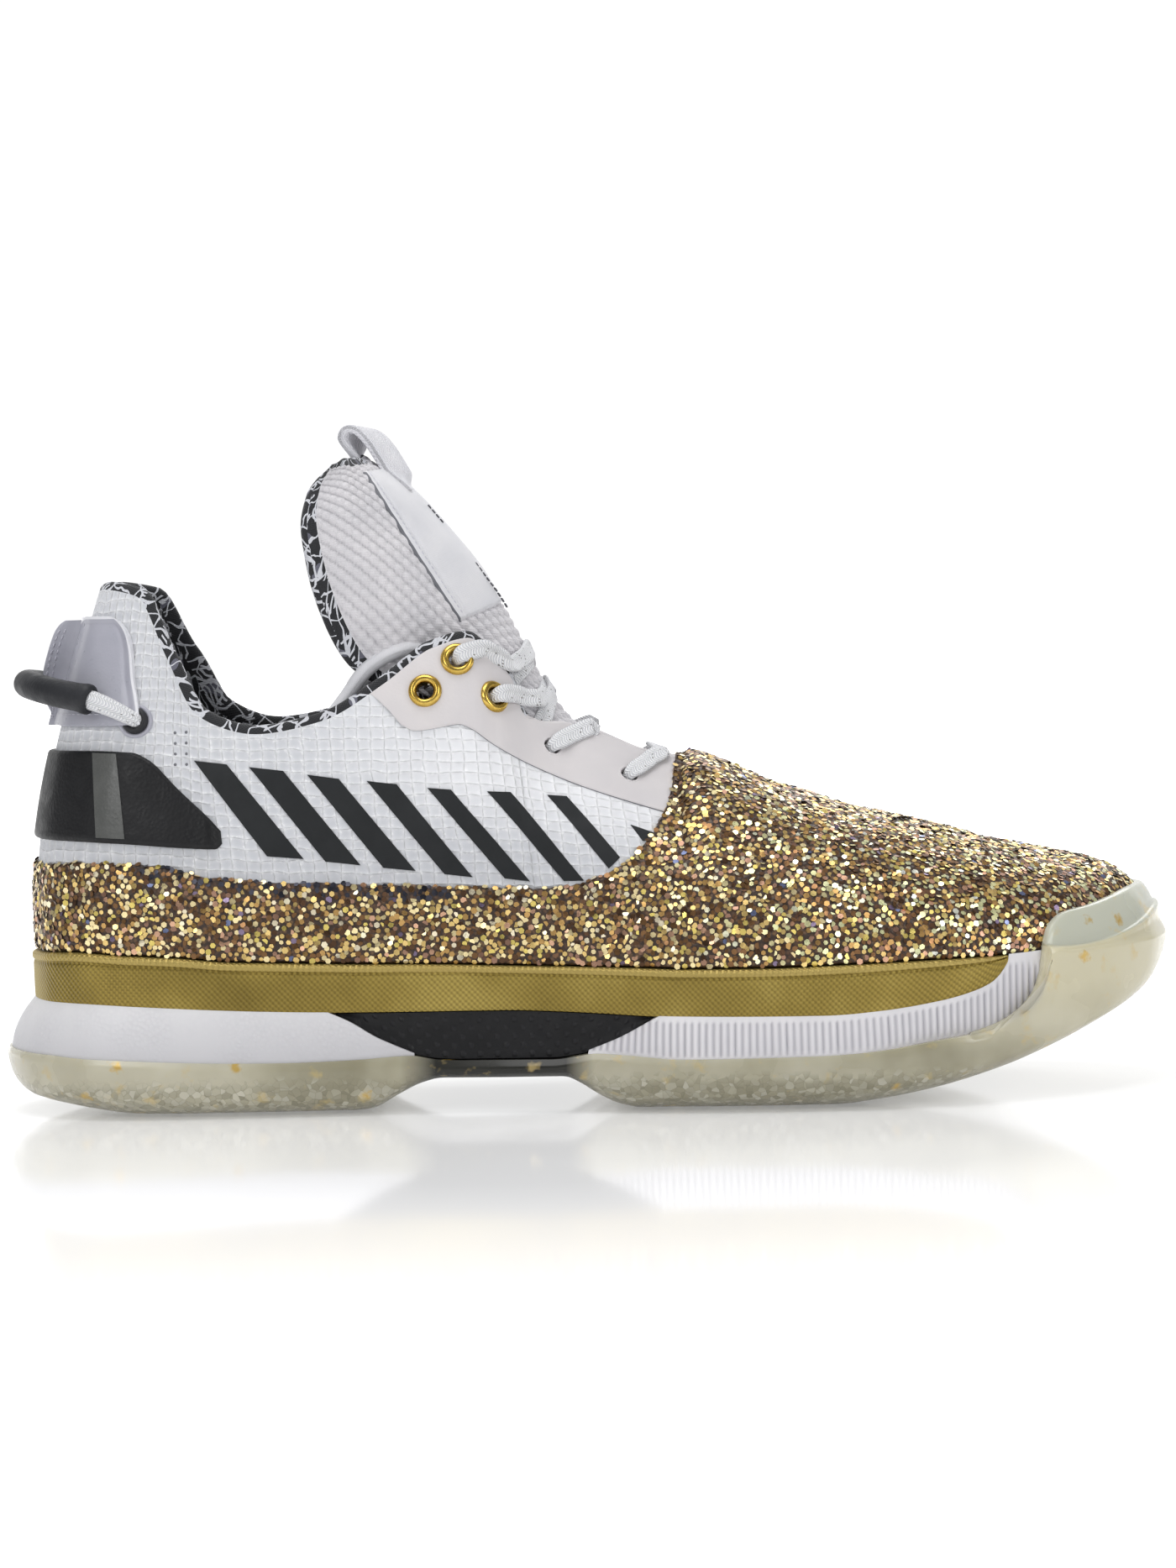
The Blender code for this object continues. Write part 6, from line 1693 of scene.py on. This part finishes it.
bits = Bits()
for s in (-1, 1):
    q = np.linspace(6.15, 10.2, 90)
    tt = np.full(90, s * 0.73)
    stitches(bits, tongue_skin(q, tt), tongue_normal(q, tt), 1.5, 1.2, 0.16, 1.05, mat=1)
for q0, q1 in ((8.15, 8.8), (5.85, 7.1)):
    q = np.linspace(q0, q1, 30)
    for tt in (-0.16, 0.16):
        stitches(bits, tongue_skin(q, np.full(30, tt)), tongue_normal(q, np.full(30, tt)), 1.6, 1.45, 0.22, 1.95 if q0 > 7 else 1.8)
bits.make("tongue_stitches", [DARK_THREAD, THREAD], slot="white_weave", weld=False)


# ------------------------------------------------------------------ floor, light, camera
def card(name, size, centre, axis_x, axis_y):
    x, y, c = Vector(axis_x) * size[0] / 2, Vector(axis_y) * size[1] / 2, Vector(centre)
    mesh = bpy.data.meshes.new(name)
    mesh.from_pydata([c - x - y, c + x - y, c + x + y, c - x + y], [], [(0, 1, 2, 3)])
    obj = bpy.data.objects.new(name, mesh)
    bpy.context.scene.collection.objects.link(obj)
    return obj


m = Shade("studio_white", Roughness=0.08)
at_ = m.space()
far = m.node("ShaderNodeVectorMath", {0: at_}, out="Value", operation="LENGTH")
glow = m.span(far, 0.25, 1.1)
# Painted light: the floor is painted lighter and glows more further from the shoe.
m.set("Base Color", m.mix(glow, srgb(238, 238, 239), srgb(250, 250, 250)))
m.set("Specular IOR Level", 0.4)
m.set("Emission Color", (1.0, 1.0, 1.0)).set("Emission Strength", m.span(far, 0.17, 0.55, 0.20, 0.76))
floor = card("studio_floor", (12, 12), (0, 4.0, 0), (1, 0, 0), (0, 1, 0))
floor.data.materials.append(m.mat)
m = Shade("studio_wall", Roughness=0.9)
m.set("Base Color", (0.0, 0.0, 0.0)).set("Emission Color", (1.0, 1.0, 1.0)).set("Emission Strength", 1.02)
wall = card("studio_wall", (14, 7), (0, 6.0, 3.2), (1, 0, 0), (0, 0, 1))
wall.data.materials.append(m.mat)

world = bpy.data.worlds.new("studio")
world.use_nodes = True
world.node_tree.nodes["Background"].inputs[0].default_value = (0.96, 0.98, 1.0, 1.0)
world.node_tree.nodes["Background"].inputs[1].default_value = 0.30
bpy.context.scene.world = world


def softbox(name, where, aim, size, power, colour=(1, 1, 1)):
    light = bpy.data.lights.new(name, "AREA")
    light.shape, light.size, light.size_y, light.energy, light.color = "RECTANGLE", size[0], size[1], power, colour
    obj = bpy.data.objects.new(name, light)
    obj.location = where
    obj.rotation_euler = (Vector(aim) - Vector(where)).to_track_quat("-Z", "Y").to_euler()
    bpy.context.scene.collection.objects.link(obj)


softbox("top", (-0.15, -0.15, 1.15), (0, 0, 0.05), (0.9, 0.7), 7.0)
softbox("front_left", (-0.75, -1.05, 0.75), (0, 0, 0.07), (0.6, 0.6), 4.0)
softbox("front_right", (0.95, -0.85, 0.55), (0.05, 0, 0.06), (0.5, 0.6), 4.0)
softbox("back", (0.1, 1.0, 0.8), (0, 0, 0.08), (1.0, 0.5), 3.0)

lift, roll_by, reach_m = math.radians(2.5), math.radians(1.45), 1.1
f = Vector((0, math.cos(lift), -math.sin(lift)))
up_v = Vector((0, math.sin(lift), math.cos(lift)))
right_v = Vector((1, 0, 0)) * math.cos(roll_by) - up_v * math.sin(roll_by)
top_v_ = Vector((1, 0, 0)) * math.sin(roll_by) + up_v * math.cos(roll_by)
target = Vector((0.0013, 0.00045, 0.081))
cam = bpy.data.cameras.new("camera")
cam.sensor_fit, cam.sensor_width, cam.lens, cam.clip_start = "HORIZONTAL", 36.0, 36 * 5005 / 1400, 0.01
cam_obj = bpy.data.objects.new("camera", cam)
m4 = Matrix((right_v, top_v_, -f)).transposed().to_4x4()
m4.translation = target - f * reach_m
cam_obj.matrix_world = m4
bpy.context.scene.collection.objects.link(cam_obj)
bpy.context.scene.camera = cam_obj
bpy.context.scene.view_settings.view_transform = "Standard"
